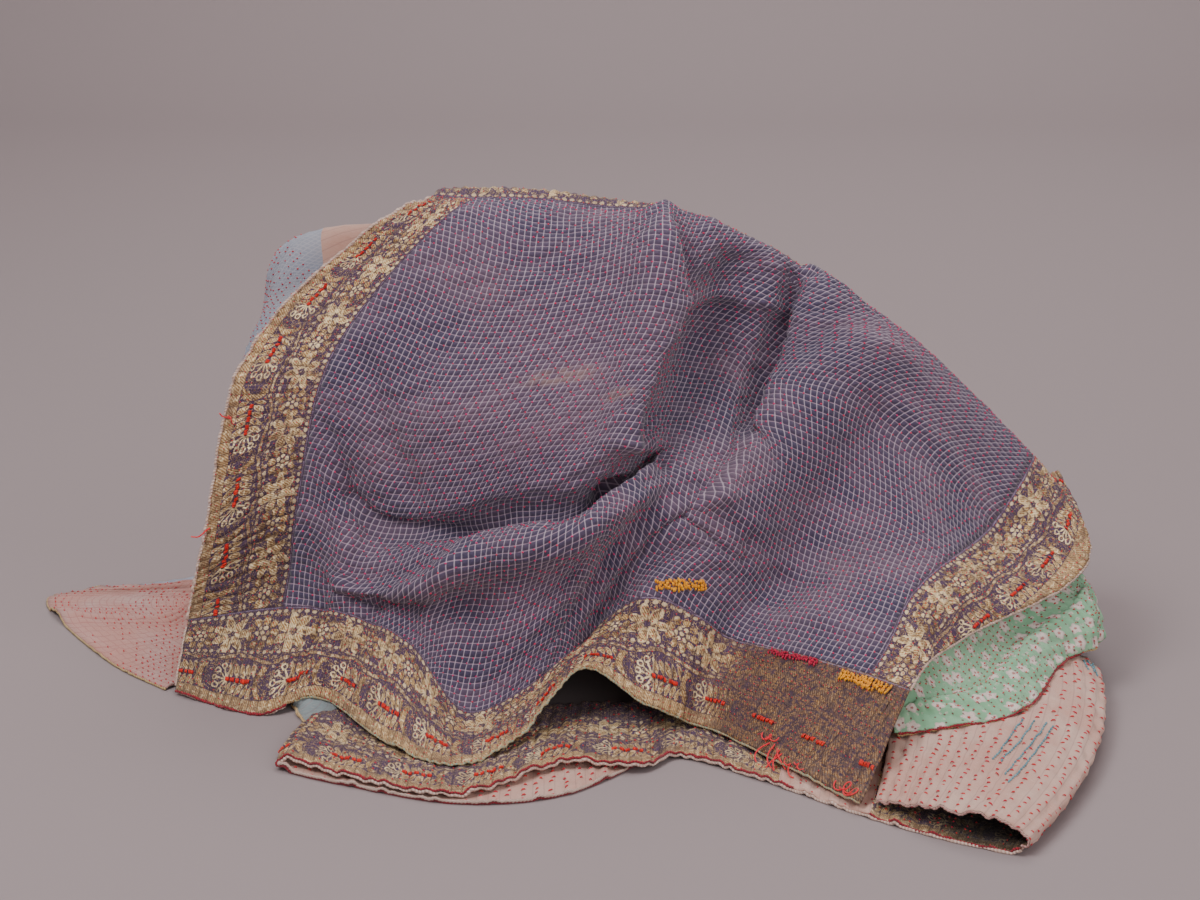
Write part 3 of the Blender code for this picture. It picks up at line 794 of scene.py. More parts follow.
def whipped(line, normals, radius, seed):
    """The line made finer, with the radius that an overcast edge has from wrap to wrap."""
    lengths = travelled(line)
    places = np.arange(0.0, lengths[-1], WHIP_PITCH / 3)
    fine = np.stack([np.interp(places, lengths, line[:, k]) for k in range(3)], axis=1)
    out = np.stack([np.interp(places, lengths, normals[:, k]) for k in range(3)], axis=1)
    slow = crumple(places, places * 0.0, ((0.012, 0.05), (1.0, 2.0)), seed)
    radii = radius * (1.0 + 0.22 * np.sin(2 * np.pi * places / WHIP_PITCH) + 0.18 * slow)
    return fine, out, np.maximum(radii, radius * 0.4)


# ---------------------------------------------------------------- materials
def tint(red, green, blue):
    """Scene colour of a paint-chart colour from 0 to 255."""
    return tuple(((part / 255 + 0.055) / 1.055) ** 2.4 if part > 10 else part / 255 / 12.92
                 for part in (red, green, blue))


class Wire:
    """A value at every point of a material, with the arithmetic that shapes a pattern."""

    def __init__(self, tree, socket):
        self.tree = tree
        self.socket = socket

    def math(self, operation, *others):
        """The result of one step of arithmetic."""
        node = self.tree.nodes.new("ShaderNodeMath")
        node.operation = operation
        for slot, value in zip(node.inputs, (self, *others)):
            plug(self.tree, slot, value)
        return Wire(self.tree, node.outputs[0])

    def __add__(self, other):
        return self.math("ADD", other)

    def __sub__(self, other):
        return self.math("SUBTRACT", other)

    def __mul__(self, other):
        return self.math("MULTIPLY", other)

    def __truediv__(self, other):
        return self.math("DIVIDE", other)

    def ramp(self, low, high):
        """0 below low, 1 above high, and smooth between them; low may be the larger."""
        node = self.tree.nodes.new("ShaderNodeMapRange")
        node.interpolation_type = "SMOOTHSTEP"
        swap = low > high
        plug(self.tree, node.inputs[0], self)
        node.inputs[1].default_value = min(low, high)
        node.inputs[2].default_value = max(low, high)
        node.inputs[3].default_value = 1.0 if swap else 0.0
        node.inputs[4].default_value = 0.0 if swap else 1.0
        return Wire(self.tree, node.outputs[0])

    def fold(self, period):
        """Signed distance from the nearest whole number of periods."""
        return ((self / period + 0.5).math("FRACT") - 0.5) * period

    def line(self, period, half, soft):
        """1 on lines that stand a period apart, with their half width and soft edge."""
        return self.fold(period).size().ramp(half + soft, half - soft)

    def stack(self, other):
        """The greater of the two, which lays one pattern over another."""
        return self.math("MAXIMUM", other)

    def size(self):
        """The value without its sign."""
        return self.math("ABSOLUTE")

    def wave(self, period):
        """0 to 1 and back over each period."""
        return (self * (2 * math.pi / period)).math("SINE") * 0.5 + 0.5

    def arch(self, pitch):
        """0 at every pitch and 1 half-way between."""
        return (self * (math.pi / pitch)).math("SINE").size()


def plug(tree, slot, value):
    """Links a value to one input of a node, or sets a number or a colour there."""
    if isinstance(value, Wire):
        tree.links.new(value.socket, slot)
    elif slot.type == "RGBA":
        slot.default_value = (*value, 1.0)
    else:
        slot.default_value = value


class Look:
    """One cloth or thread material while its nodes are laid out."""

    def __init__(self, name, roughness, sheen=0.0):
        self.material = bpy.data.materials.new(name)
        self.material.use_nodes = True
        self.tree = self.material.node_tree
        self.shader = self.tree.nodes["Principled BSDF"]
        values = {"Roughness": roughness, "Specular IOR Level": 0.25,
                  "Sheen Weight": sheen, "Sheen Roughness": 0.5}
        for slot, value in values.items():
            self.shader.inputs[slot].default_value = value

    def node(self, kind, values=(), out=0, **settings):
        """A new node's output, with the values of its inputs and its own options."""
        made = self.tree.nodes.new("ShaderNode" + kind)
        for key, value in settings.items():
            setattr(made, key, value)
        for slot, value in dict(values).items():
            plug(self.tree, made.inputs[slot], value)
        return Wire(self.tree, made.outputs[out])

    def parts(self, vector):
        """The three numbers of a vector or of a colour."""
        made = self.tree.nodes.new("ShaderNodeSeparateXYZ")
        plug(self.tree, made.inputs[0], vector)
        return [Wire(self.tree, out) for out in made.outputs]

    def place(self):
        """The two distances on the cloth, in millimetres."""
        first, second, _ = self.parts(self.node("Attribute", attribute_name="place", out=1))
        return first * 1000.0, second * 1000.0

    def spot(self, first, second):
        """The vector of two distances."""
        return self.node("CombineXYZ", {0: first, 1: second})

    def grain(self, first, second, rate_first, rate_second, detail, roughness=0.5, start=0.0):
        """Noise over the cloth; its rates are its cells a millimetre over the two distances."""
        over = first * rate_first
        if start:
            over = over + start
        where = self.spot(over, second * rate_second)
        values = {"Vector": where, "Scale": 1.0, "Detail": detail, "Roughness": roughness}
        return self.node("TexNoise", values)

    def mix(self, factor, low, high):
        """The low colour where the factor is 0 and the high one where it is 1."""
        return self.node("Mix", {0: factor, 6: low, 7: high}, out=2, data_type="RGBA")

    def finish(self, colour, height, depth, roughness=None, metallic=None):
        """Connects the colour, the bump with its depth in metres, and the gloss where it varies."""
        linked = {"Base Color": colour, "Metallic": metallic, "Roughness": roughness}
        for slot, value in linked.items():
            if value is not None:
                plug(self.tree, self.shader.inputs[slot], value)
        bump = self.node("Bump", {"Strength": 1.0, "Distance": depth, "Height": height})
        plug(self.tree, self.shader.inputs["Normal"], bump)
        return self.material


def wandering(look, first, second, reach, scale):
    """The two distances, each moved a little by a smooth noise."""
    where = look.spot(first * scale, second * scale)
    shift = look.parts(look.node("TexNoise", {"Vector": where, "Scale": 1.0, "Detail": 1.0}, out=1))
    return first + (shift[0] - 0.5) * (2 * reach), second + (shift[1] - 0.5) * (2 * reach)


def weave(look, first, second, pitch=0.7):
    """Height of a plain weave of that pitch in millimetres."""
    turn = 2 * math.pi / pitch
    return (first * turn).math("SINE") * (second * turn).math("SINE") * 0.5 + 0.5


def indigo_check():
    """Hand-loomed indigo cotton with a fine pale check, worn lighter in places."""
    quilt = bpy.context.scene.quilt
    look = Look("indigo check", 0.88, sheen=0.18)
    first, second = look.place()
    first_w, second_w = wandering(look, first, second, 1.1, 0.050)
    pitch = ROW_PITCH * 1000
    slow = look.grain(first, second, 0.010, 0.010, 3.0)
    bands = look.grain(first, second, 0.012, 0.030, 3.0)
    broken = look.grain(first, second, 0.16, 0.16, 2.0)
    slub = look.grain(first, second, 0.25, 2.2, 2.0)
    warp = first_w.line(pitch, 0.34, 0.42) * broken.ramp(0.18, 0.42)
    weft = second_w.line(pitch, 0.34, 0.42) * broken.ramp(0.84, 0.58)
    ground = look.mix(bands.ramp(0.38, 0.72) * 0.75, quilt.check_ground, quilt.check_faded)
    ground = look.mix(slub.ramp(0.42, 0.75) * 0.35, ground, tint(104, 92, 124))
    worn_place = ellipse(first + 85.0, second - 85.0, 161.25, 161.25)
    ground = look.mix(worn_place.ramp(1.0, 0.1538) * 0.45, ground, quilt.check_faded)
    lined = look.mix(weft * 0.70, ground, tint(188, 158, 176))
    lined = look.mix(warp * 0.78, lined, quilt.check_line)
    faded = look.mix(slow.ramp(0.45, 0.75) * 0.20, lined, tint(160, 124, 134))
    left_stain = ellipse(first + 120.0, second - 77.0, 40.45, 12.25)
    right_stain = ellipse(first + 53.0, second - 51.0, 22.36, 8.82)
    stains = left_stain.ramp(1.0, 0.0667).stack(right_stain.ramp(1.0, 0.0857)) * broken.ramp(0.30, 0.62)
    faded = look.mix(stains * 0.42, faded, tint(165, 132, 120))
    pillow = first_w.arch(pitch) * second_w.arch(pitch)
    height = weave(look, first, second) * 0.15 + pillow * 1.2
    return look.finish(faded, height, 0.0010, roughness=slow * 0.15 + 0.80)


def ellipse(across, along, half_across, half_along):
    """Level of an ellipse: under 1 inside it."""
    one = across / half_across
    two = along / half_along
    return one * one + two * two


def distance(across, along):
    """Straight length of a step across and along."""
    return (across * across + along * along).math("SQRT")


def sectors(turn, radius, count):
    """Distances aside from and out along the nearest of so many even rays."""
    step = 2 * math.pi / count
    near = turn.fold(step)
    return radius * near.math("SINE"), radius * near.math("COSINE")


def spray_band(first, second, repeat):
    """Buds on stalks that fan out from a stem, leaves with a bow of wings behind, and the leaves' veins."""
    along = first.fold(repeat)
    aside = (second - SPRAY_AT).size()
    fan_x = (along + 8.0) * -1.0
    radius = distance(fan_x, aside)
    ray_aside, ray_out = sectors(aside.math("ARCTAN2", fan_x), radius, 11)
    ahead = fan_x.ramp(-1.5, 0.5)
    stalk = ray_aside.size().ramp(1.0, 0.5) * radius.ramp(12.0, 11.0)
    stalk = stalk * radius.ramp(1.0, 2.0) * ahead
    bud = ellipse(ray_aside, ray_out - 12.8, 2.9, 3.1)
    loop = (bud.ramp(1.10, 0.90) - bud.ramp(0.35, 0.20)) * ahead
    leaf = ellipse(along.fold(5.8) + (aside - 8.0) * 0.35, aside - 8.0, 2.5, 6.0)
    comb = leaf.ramp(1.15, 0.85) * along.ramp(-8.5, -7.5) * along.ramp(18.5, 17.5)
    bow = (along - 21.0 - aside * aside * 0.035).size().ramp(3.0, 2.2) * aside.ramp(13.5, 12.5)
    return stalk.stack(loop), comb.stack(bow), leaf.ramp(0.45, 0.70) * comb


def blooms(first, second, repeat):
    """Flowers of pointed petals: the level from the middle of a petal to its edge, and the heart."""
    bloom_x = (first + repeat / 4).fold(repeat)
    bloom_y = second - BLOOM_AT
    radius = distance(bloom_x, bloom_y)
    petal_aside, petal_out = sectors(bloom_y.math("ARCTAN2", bloom_x), radius, 7)
    petal = ellipse(petal_aside, petal_out - 10.8, 3.9, 7.6)
    return petal, (radius - 3.2).size().ramp(1.0, 0.5)


def bead_rings(first, second, repeat):
    """Rings of beads between the flowers, and the leaves round them."""
    ring_x = (first - repeat / 4).fold(repeat)
    ring_y = second - BLOOM_AT
    radius = distance(ring_x, ring_y)
    turn = ring_y.math("ARCTAN2", ring_x)
    bead_aside, bead_out = sectors(turn, radius, 6)
    beads = ellipse(bead_aside, bead_out - 4.9, 1.9, 1.9).ramp(1.2, 0.85).stack(radius.ramp(2.0, 1.5))
    leaf_aside, leaf_out = sectors(turn, radius, 9)
    return beads, ellipse(leaf_aside, leaf_out - 11.2, 2.9, 3.8).ramp(1.15, 0.85)


def worn_and_shaded_gold(look, first, second, hatch, chips):
    """Brocade that has gone brown with wear and is darker as painted shade, with flecks of bare silk."""
    flecks = look.grain(first, second, 0.34, 0.46, 4.0, 0.75, start=9.0)
    islands = look.grain(first, second, 0.085, 0.11, 3.0, 0.6, start=3.0)
    gilt = look.mix(hatch.ramp(0.45, 0.85) * 0.55, tint(128, 86, 52), tint(190, 148, 100))
    dulled = look.mix(flecks.ramp(0.47, 0.53) * islands.ramp(0.34, 0.50), tint(60, 44, 58), gilt)
    return look.mix(chips.ramp(0.50, 0.60) * 0.6, dulled, tint(74, 48, 50))


def gold_brocade(name, worn=0.0, dull=None, deep=88.0, shaded=None):
    """Aubergine silk with a border woven in gold and cream: sprays, blooms, beads and plain bands.

    The pattern is worn by a share, dull from a length on, where it is worn brown and partly painted shade,
    goes in to a depth from the hem, and is darkened by painted shade from one length to another by a share.
    Its grooves are darkened by painted shade. All lengths are in millimetres.
    """
    quilt = bpy.context.scene.quilt
    look = Look(name, 0.55, sheen=0.10)
    first_raw, second_raw = look.place()
    first, second = wandering(look, first_raw, second_raw, 0.9, 0.09)
    first, second = wandering(look, first, second, 0.55, 0.45)
    repeat = REPEAT * 1000

    # What the border is made of, from the hem to the seam.
    buds, greenery, veins = spray_band(first, second, repeat)
    wave = second - ((first * (2 * math.pi / repeat)).math("COSINE") * 2.6 + WAVE_AT)
    wave_band = wave.size().ramp(2.0, 1.4)
    in_spray = second.ramp(10.6, 11.4) * wave.ramp(-2.2, -2.8)
    petal, heart = blooms(first, second, repeat)
    petals = petal.ramp(1.12, 0.90)
    rim = petals * petal.ramp(0.40, 0.62)
    beads, leaves = bead_rings(first, second, repeat)
    low_dots = ellipse(first.fold(6.4), second - 85.0, 1.9, 1.8).ramp(1.2, 0.85)
    high_dots = ellipse((first + 3.2).fold(6.4), second - 49.5, 1.7, 1.5).ramp(1.2, 0.85)
    in_bloom = wave.ramp(2.2, 2.8) * second.ramp(deep, deep - 1.0)

    # Plain bands at the hem and at the seam.
    ribs = (second * 0.9 + first.fold(3.4).size()).wave(1.9)
    hem_band = second.ramp(11.0, 10.2)
    seam_line = (second - SEAM_AT).size().ramp(0.60, 0.30)

    # Threads, and how worn, broken or dulled they are. The dulling is partly painted shade,
    # and the grooves get painted shade.
    hatch = (first * 0.86 + second * 0.5).wave(1.7)
    warps = first.wave(1.9)
    bright = look.grain(first_raw, second_raw, 0.035, 0.06, 4.0, 0.6)
    grit = look.grain(first_raw, second_raw, 0.42, 0.60, 3.0, 0.65)
    chips = look.grain(first_raw, second_raw, 0.26, 0.30, 3.0, 0.6, start=40.0)
    scroll = look.grain(first, second, 0.22, 0.22, 2.0, 0.6)
    rubbed = bright.ramp(0.28 + worn, 0.66 + worn)
    sound_and_lit = (first_raw + (scroll - 0.5) * 90.0).ramp(dull + 30.0, dull - 26.0) if dull else 1.0
    groove_shade = first_raw.arch(GROOVE_PITCH * 1000).ramp(0.0, 0.36)

    # What is woven in gold, and what is woven in cream.
    filler = (scroll - 0.5).size().ramp(0.040, 0.020) * in_spray.stack(in_bloom)
    gold_parts = (greenery * in_spray).stack(petals.stack(leaves) * in_bloom)
    gold_parts = (gold_parts * chips.ramp(0.32, 0.44)).stack(wave_band * chips.ramp(0.38, 0.50) * 0.8)
    gold_parts = gold_parts.stack(hem_band * 0.9).stack(filler * 0.7)
    light_parts = buds * in_spray
    light_parts = light_parts.stack(beads.stack(low_dots * 0.7).stack(high_dots * 0.7) * in_bloom)
    light_parts = light_parts.stack(veins * in_spray * 0.6)
    light_parts = light_parts.stack((rim * chips.ramp(0.40, 0.52).stack(heart)) * in_bloom * 0.9)
    light_parts = light_parts.stack(petals * petal.ramp(0.95, 0.60) * hatch.ramp(0.35, 0.65) * in_bloom
                                    * chips.ramp(0.38, 0.54) * 0.55)
    light_parts = light_parts.stack(chips.ramp(0.56, 0.60) * gold_parts * 0.9)

    ground = look.mix(warps.ramp(0.86, 0.99) * 0.35, quilt.brocade_ground, tint(150, 118, 140))
    ground = look.mix(grit.ramp(0.50, 0.72) * 0.40, ground, tint(126, 90, 70))
    gold = look.mix(rubbed, tint(112, 78, 54), quilt.brocade_gold)
    gold = look.mix(hatch.ramp(0.35, 0.80) * (bright.ramp(0.25, 0.6) * 0.45 + 0.10), gold,
                    quilt.brocade_light)
    gold = look.mix(grit.ramp(0.44, 0.64) * 0.70, gold, tint(88, 58, 48))
    gold = look.mix(hem_band.stack(wave_band) * ribs * 0.30, gold, tint(198, 166, 128))
    light = look.mix(rubbed * 0.7 + 0.3, tint(168, 130, 92), quilt.brocade_light)
    colour = look.mix(gold_parts * grit.ramp(0.20, 0.42), ground, gold)
    # Past the dull length the brocade is worn brown and also darkened as painted shade.
    if dull:
        light_parts = light_parts * (sound_and_lit * 0.8 + 0.2)
        light = look.mix(sound_and_lit, tint(150, 112, 78), light)
    colour = look.mix(light_parts * grit.ramp(0.14, 0.36), colour, light)
    if dull:
        dulled = worn_and_shaded_gold(look, first_raw, second_raw, hatch, chips)
        colour = look.mix(sound_and_lit * -0.80 + 0.80, colour, dulled)
    colour = look.mix(seam_line * chips.ramp(0.35, 0.55) * 0.45, colour, tint(170, 152, 176))
    # Painted shade in the grooves between the puffs.
    colour = look.mix(groove_shade * -0.55 + 0.55, colour, tint(58, 40, 46))
    # Painted shade: darker from one length to another by a share.
    if shaded:
        start, end, share = shaded
        colour = look.mix(first_raw.ramp(start, end) * share, colour, tint(34, 26, 28))
    raised = gold_parts.stack(light_parts)
    height = raised * (hatch * 0.35 + 0.65) + grit * 0.35
    return look.finish(colour, height, 0.0009, roughness=raised * -0.26 + 0.76, metallic=raised * 0.35)


def plain_cotton(name, colour, second_colour):
    """Soft old cotton in one colour, with slubs, faint checks, dingy places and painted shade in grooves.
    """
    look = Look(name, 0.92, sheen=0.15)
    first, second = look.place()
    slow = look.grain(first, second, 0.018, 0.018, 3.0)
    slub = look.grain(first, second, 0.20, 2.6, 2.0)
    cross = look.grain(first, second, 2.6, 0.20, 2.0)
    base = look.mix(slow.ramp(0.35, 0.70), colour, second_colour)
    base = look.mix(slub.ramp(0.45, 0.80) * 0.3, base, tint(232, 214, 205))
    base = look.mix(cross.ramp(0.50, 0.85) * 0.3 * 0.7, base, tint(150, 120, 118))
    # Painted shade along the grooves that the stitches pull in.
    groove_shade = first.arch(GROOVE_PITCH * 1000).ramp(0.30, 0.0)
    base = look.mix(groove_shade * 0.35, base, tint(146, 104, 104))
    height = weave(look, first, second, 0.8) * 0.6 + slub * 0.5
    return look.finish(base, height, 0.0003)


def checked_cotton(name, colour, line_colour, pitch):
    """Faded cotton with a thin open check."""
    look = Look(name, 0.92, sheen=0.15)
    first, second = look.place()
    first_w, second_w = wandering(look, first, second, 0.8, 0.06)
    slow = look.grain(first, second, 0.02, 0.02, 3.0)
    lines = first_w.line(pitch, 0.45, 0.35).stack(second_w.line(pitch, 0.45, 0.35))
    base = look.mix(slow.ramp(0.35, 0.75) * 0.35, colour, tint(205, 195, 195))
    base = look.mix(lines * 0.55, base, line_colour)
    return look.finish(base, weave(look, first, second, 0.8), 0.0003)


def green_print():
    """Green cotton printed all over with pale blossoms, small leaves and red dots."""
    quilt = bpy.context.scene.quilt
    look = Look("green blossom print", 0.9, sheen=0.15)
    first, second = look.place()
    slow = look.grain(first, second, 0.02, 0.02, 3.0)
    grit = look.grain(first, second, 0.9, 0.9, 2.0)

    def blossoms(spacing, size, petals, seed):
        """Flowers, their hearts and the level from heart to edge; spacing and size are in millimetres."""
        cell = 1.0 / spacing
        where = look.spot(first * cell + seed, second * cell)
        near = look.tree.nodes.new("ShaderNodeTexVoronoi")
        near.voronoi_dimensions = "2D"
        near.inputs["Randomness"].default_value = 0.50
        near.inputs["Scale"].default_value = 1.0
        plug(look.tree, near.inputs["Vector"], where)
        middle = look.parts(Wire(look.tree, near.outputs["Position"]))
        tone = look.parts(Wire(look.tree, near.outputs["Color"]))
        across = (first * cell + seed - middle[0]) * spacing
        along = (second * cell - middle[1]) * spacing
        turn = along.math("ARCTAN2", across) + tone[0] * 6.28
        radius = Wire(look.tree, near.outputs["Distance"]) * spacing
        bulge = (turn * petals).math("COSINE") * 0.16 + 0.92
        grown = tone[1] * 0.35 + 0.80
        edge = radius / (bulge * grown * size)
        return edge.ramp(1.08, 0.88), edge.ramp(0.30, 0.20), edge

    big, heart, edge = blossoms(18.5, 5.6, 5.0, 3.7)
    small, small_heart, _ = blossoms(6.6, 1.5, 4.0, 9.1)
    dots, _, _ = blossoms(8.6, 0.95, 1.0, 17.3)
    patches = look.grain(first, second, 0.07, 0.07, 2.0)
    ground = look.mix(slow.ramp(0.30, 0.75), quilt.green_ground, tint(156, 196, 160))
    colour = look.mix(small * patches.ramp(0.44, 0.54) * 0.85, ground, tint(208, 200, 186))
    colour = look.mix(big * 0.92, colour, tint(236, 216, 208))
    rims = big * edge.ramp(0.55, 0.85) * grit.ramp(0.40, 0.60)
    colour = look.mix(rims * 0.5, colour, tint(190, 150, 150))
    colour = look.mix(dots * 0.9, colour, tint(122, 52, 66))
    colour = look.mix(heart * 0.85, colour, tint(176, 96, 92))
    colour = look.mix(small_heart * 0.5, colour, tint(150, 110, 90))
    return look.finish(colour, weave(look, first, second, 0.8) + grit * 0.3, 0.0003)


def thread(name, colour, second_colour, roughness=0.6, sheen=0.2):
    """Cotton thread whose stitches vary between two colours."""
    look = Look(name, roughness, sheen=sheen)
    shade = look.node("Attribute", attribute_name="shade", out=2)
    spot = look.node("TexCoord", out=3)
    twist = look.node("TexNoise", {"Vector": spot, "Scale": 900.0, "Detail": 1.0})
    colour = look.mix(shade, colour, second_colour)
    dark = look.mix(twist.ramp(0.35, 0.70) * 0.35, colour, (0.02, 0.01, 0.01))
    return look.finish(dark, twist, 0.0002)


def edge_binding(name, colour, second_colour, pitch):
    """Overcast edge: slanting thread wraps in one colour over another."""
    look = Look(name, 0.75, sheen=0.2)
    first, second = look.place()
    wraps = (first + second * 0.6).wave(pitch)
    uneven = look.grain(first, second, 0.10, 0.0, 3.0)
    base = look.mix(wraps.ramp(0.35, 0.65) * uneven.ramp(0.30, 0.60), second_colour, colour)
    return look.finish(base, wraps, 0.0004)


# ---------------------------------------------------------------- settings
def colour_setting(name, description, chip):
    """A colour in the panel, from a paint-chart colour."""
    return bpy.props.FloatVectorProperty(name=name, description=description, subtype="COLOR",
                                         size=3, min=0.0, max=1.0, default=tint(*chip))


def length_setting(name, description, default, least=0.0):
    """A length in the panel, in metres."""
    return bpy.props.FloatProperty(name=name, description=description, default=default, min=least,
                                   unit="LENGTH")


def count_setting(name, description, default, least):
    """A whole number in the panel."""
    return bpy.props.IntProperty(name=name, description=description, default=default, min=least)


def power_setting(name, description, default):
    """A light's power in the panel, in watts."""
    return bpy.props.FloatProperty(name=name, description=description, default=default, min=0.0,
                                   unit="POWER")


class QuiltSettings(bpy.types.PropertyGroup):
    """Sizes and colours of the quilt."""

    cell_long: length_setting(
        "Field cell along rows", "Mesh cell of the field along the rows of stitches", 0.0031, 0.002)
    cell_short: length_setting(
        "Field cell across rows", "Mesh cell of the field across the rows of stitches", 0.00142, 0.0008)
    cell_border: length_setting(
        "Border cell along hem", "Mesh cell of the borders and the front fold along the hem", 0.0022, 0.001)
    cell_deep: length_setting(
        "Border cell across hem", "Mesh cell of the borders away from the hem", 0.0030, 0.001)
    cell_up: length_setting(
        "Reverse cell upwards", "Mesh cell of the lower ply away from its rim", 0.0060, 0.002)
    round_cells: count_setting("Cells round", "Mesh cells round the lower ply", 560, 40)
    fold_cells: count_setting("Cells back", "Mesh cells from front to back of the front fold", 66, 20)
    puff: length_setting(
        "Field puff", "Height of the field between two rows of stitches", 0.00050)
    border_puff: length_setting(
        "Border puff", "Height of the borders and the reverse between two grooves", 0.00210)
    check_ground: colour_setting("Check ground", "Indigo of the checked field", (65, 56, 80))
    check_faded: colour_setting("Faded ground", "Indigo of the field where it is worn", (100, 78, 98))
    check_line: colour_setting("Check line", "Pale thread of the check", (198, 180, 194))
    brocade_ground: colour_setting("Brocade ground", "Silk behind the gold", (74, 53, 78))
    brocade_gold: colour_setting("Gold thread", "Gold thread of the borders", (204, 152, 86))
    brocade_light: colour_setting("Cream thread", "Bright thread of the borders", (254, 228, 182))
    green_ground: colour_setting("Green ground", "Ground of the green print", (136, 188, 148))


class StageSettings(bpy.types.PropertyGroup):
    """Floor, light and camera."""

    floor_colour: colour_setting("Floor", "Colour of the floor and backdrop", (150, 136, 137))
    key_power: power_setting("Key light", "Power of the large soft light at the upper left", 49.0)
    fill_power: power_setting("Fill light", "Power of the soft light at the right", 13.0)
    top_power: power_setting("Top light", "Power of the light overhead", 18.0)
    front_power: power_setting("Front light", "Power of the soft light low in front", 20.0)
    wall_power: power_setting("Wall light", "Power of the light on the backdrop", 64.0)
    lens: bpy.props.FloatProperty(
        name="Lens", description="Focal length of the camera, in millimetres", default=85.0, min=20.0)


# ---------------------------------------------------------------- pieces
PLIES = {}


def ply_of(name):
    """The ply of that name, made once: field, front, back, left, right, lower or fold."""
    if name not in PLIES:
        makers = {"field": check_field, "lower": lower_ply, "fold": front_fold}
        PLIES[name] = makers[name]() if name in makers else border(name)
    return PLIES[name]


def choose_cloth(made, choice):
    """Gives each face of a sheet the number of its material."""
    made.data.polygons.foreach_set("material_index", choice.reshape(-1).astype(np.int32))
    made.data.update()


def keep_piece(made):
    """Lets the piece ride on the quilt."""
    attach(made, "root")
    return made


class QUILT_OT_upper_ply(bpy.types.Operator):
    """Lay the checked field and its four brocade borders"""

    bl_idname = "quilt.upper_ply"
    bl_label = "Field and borders"

    def execute(self, context):
        check = indigo_check()
        # Painted shade darkens the front brocade towards its left end and the left brocade towards the
        # front. The front brocade's right end is dull: worn brown and partly painted shade.
        brocades = {
            "front": gold_brocade("front gold brocade, dulled, with painted shade", dull=580.0, shaded=(170.0, 30.0, 0.26)),
            "back": gold_brocade("worn gold brocade", worn=0.10),
            "left": gold_brocade("left gold brocade with painted shade", shaded=(190.0, 10.0, 0.34)),
            "right": gold_brocade("gold brocade"),
        }
        lining = plain_cotton("pale pink lining", tint(200, 172, 162), tint(212, 188, 178))
        made = keep_piece(sheet_object("check_cloth", ply_of("field"), (check, lining)))
        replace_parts(made, "check_field")
        for side, look in brocades.items():
            made = sheet_object("brocade_" + side, ply_of(side), (look, lining))
            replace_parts(keep_piece(made), "border_" + side)
        return {"FINISHED"}


# Patches of the reverse, in metres on the lower ply: from and to round it, from and to up from its rim, and
# the cloth. A later patch lies over an earlier one.
PATCHES = (
    (0.00, 0.385, 0.000, 0.30, "rose check"),
    (0.385, 0.50, 0.000, 0.14, "pale blue check"),
    (0.345, 0.46, 0.14, 0.26, "old pink"),
    (0.46, 0.60, 0.14, 0.30, "old pink"),
    (0.50, 0.66, 0.000, 0.14, "cream"),
    (0.66, 0.84, 0.000, 0.17, "green print"),
    (0.60, 0.76, 0.17, 0.56, "pale blue check"),
    (0.76, 0.92, 0.17, 0.56, "old pink"),
    (0.84, 0.96, 0.000, 0.17, "blue"),
    (0.96, 1.41, 0.000, 0.56, "green print"),
    (0.00, 0.285, 0.30, 0.4375, "pale blue check"),
    (0.00, 0.285, 0.4375, 0.56, "old pink"),
    (0.285, 0.46, 0.26, 0.56, "blue"),
    (0.46, 0.60, 0.30, 0.56, "cream"),
)


class QUILT_OT_lower_ply(bpy.types.Operator):
    """Lay the patched reverse that comes down behind the heap"""

    bl_idname = "quilt.lower_ply"
    bl_label = "Patched reverse"

    def execute(self, context):
        ply = ply_of("lower")
        cloths = {
            "old pink": plain_cotton("old pink cotton", tint(200, 152, 136), tint(208, 171, 156)),
            "pale blue check": checked_cotton("pale blue check", tint(160, 166, 186),
                                              tint(206, 200, 206), 4.2),
            "green print": green_print(),
            "blue": plain_cotton("blue cotton", tint(112, 146, 170), tint(140, 160, 176)),
            "cream": plain_cotton("cream cotton", tint(206, 192, 168), tint(190, 172, 150)),
            "rose check": checked_cotton("rose check", tint(198, 146, 134), tint(176, 104, 104), 7.0),
        }
        looks = (*cloths.values(), bpy.data.materials["indigo check"])
        made = sheet_object("patched_cloth", ply, looks, len(looks))
        middle_round = (ply.first[:-1] + ply.first[1:]) / 2
        middle_up = (ply.second[:-1] + ply.second[1:]) / 2
        choice = np.zeros((len(middle_round), len(middle_up)), int)
        for round0, round1, up0, up1, cloth in PATCHES:
            round_inside = (middle_round >= round0) & (middle_round < round1)
            up_inside = (middle_up >= up0) & (middle_up < up1)
            choice[round_inside[:, None] & up_inside[None]] = list(cloths).index(cloth)
        choose_cloth(made, choice)
        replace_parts(keep_piece(made), "lower_ply")
        return {"FINISHED"}


class QUILT_OT_front_fold(bpy.types.Operator):
    """Lay the folded run of cloth under the front hem"""

    bl_idname = "quilt.front_fold"
    bl_label = "Front fold"

    def execute(self, context):
        ply = ply_of("fold")
        pink = bpy.data.materials["old pink cotton"]
        # Painted shade darkens the brocade inside the mouth of the tube.
        deep = gold_brocade("fold gold brocade with painted shade", deep=150.0, shaded=(840.0, 880.0, 0.76))
        looks = (deep, bpy.data.materials["indigo check"], pink, pink)
        made = sheet_object("folded_cloth", ply, looks, 2)
        face_back = (ply.run_second[:-1, :-1] + ply.run_second[1:, 1:]) / 2
        face_run = ((ply.first[:-1] + ply.first[1:]) / 2)[:, None]
        check_starts = 0.140
        pink_start, pink_end, pink_deep = 0.722, 0.800, 0.115
        choice = np.where(face_back > check_starts, 1, 0)
        choice[(face_back < pink_deep) & (face_run > pink_start) & (face_run < pink_end)] = 2
        choose_cloth(made, choice.T)
        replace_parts(keep_piece(made), "front_fold")
        return {"FINISHED"}


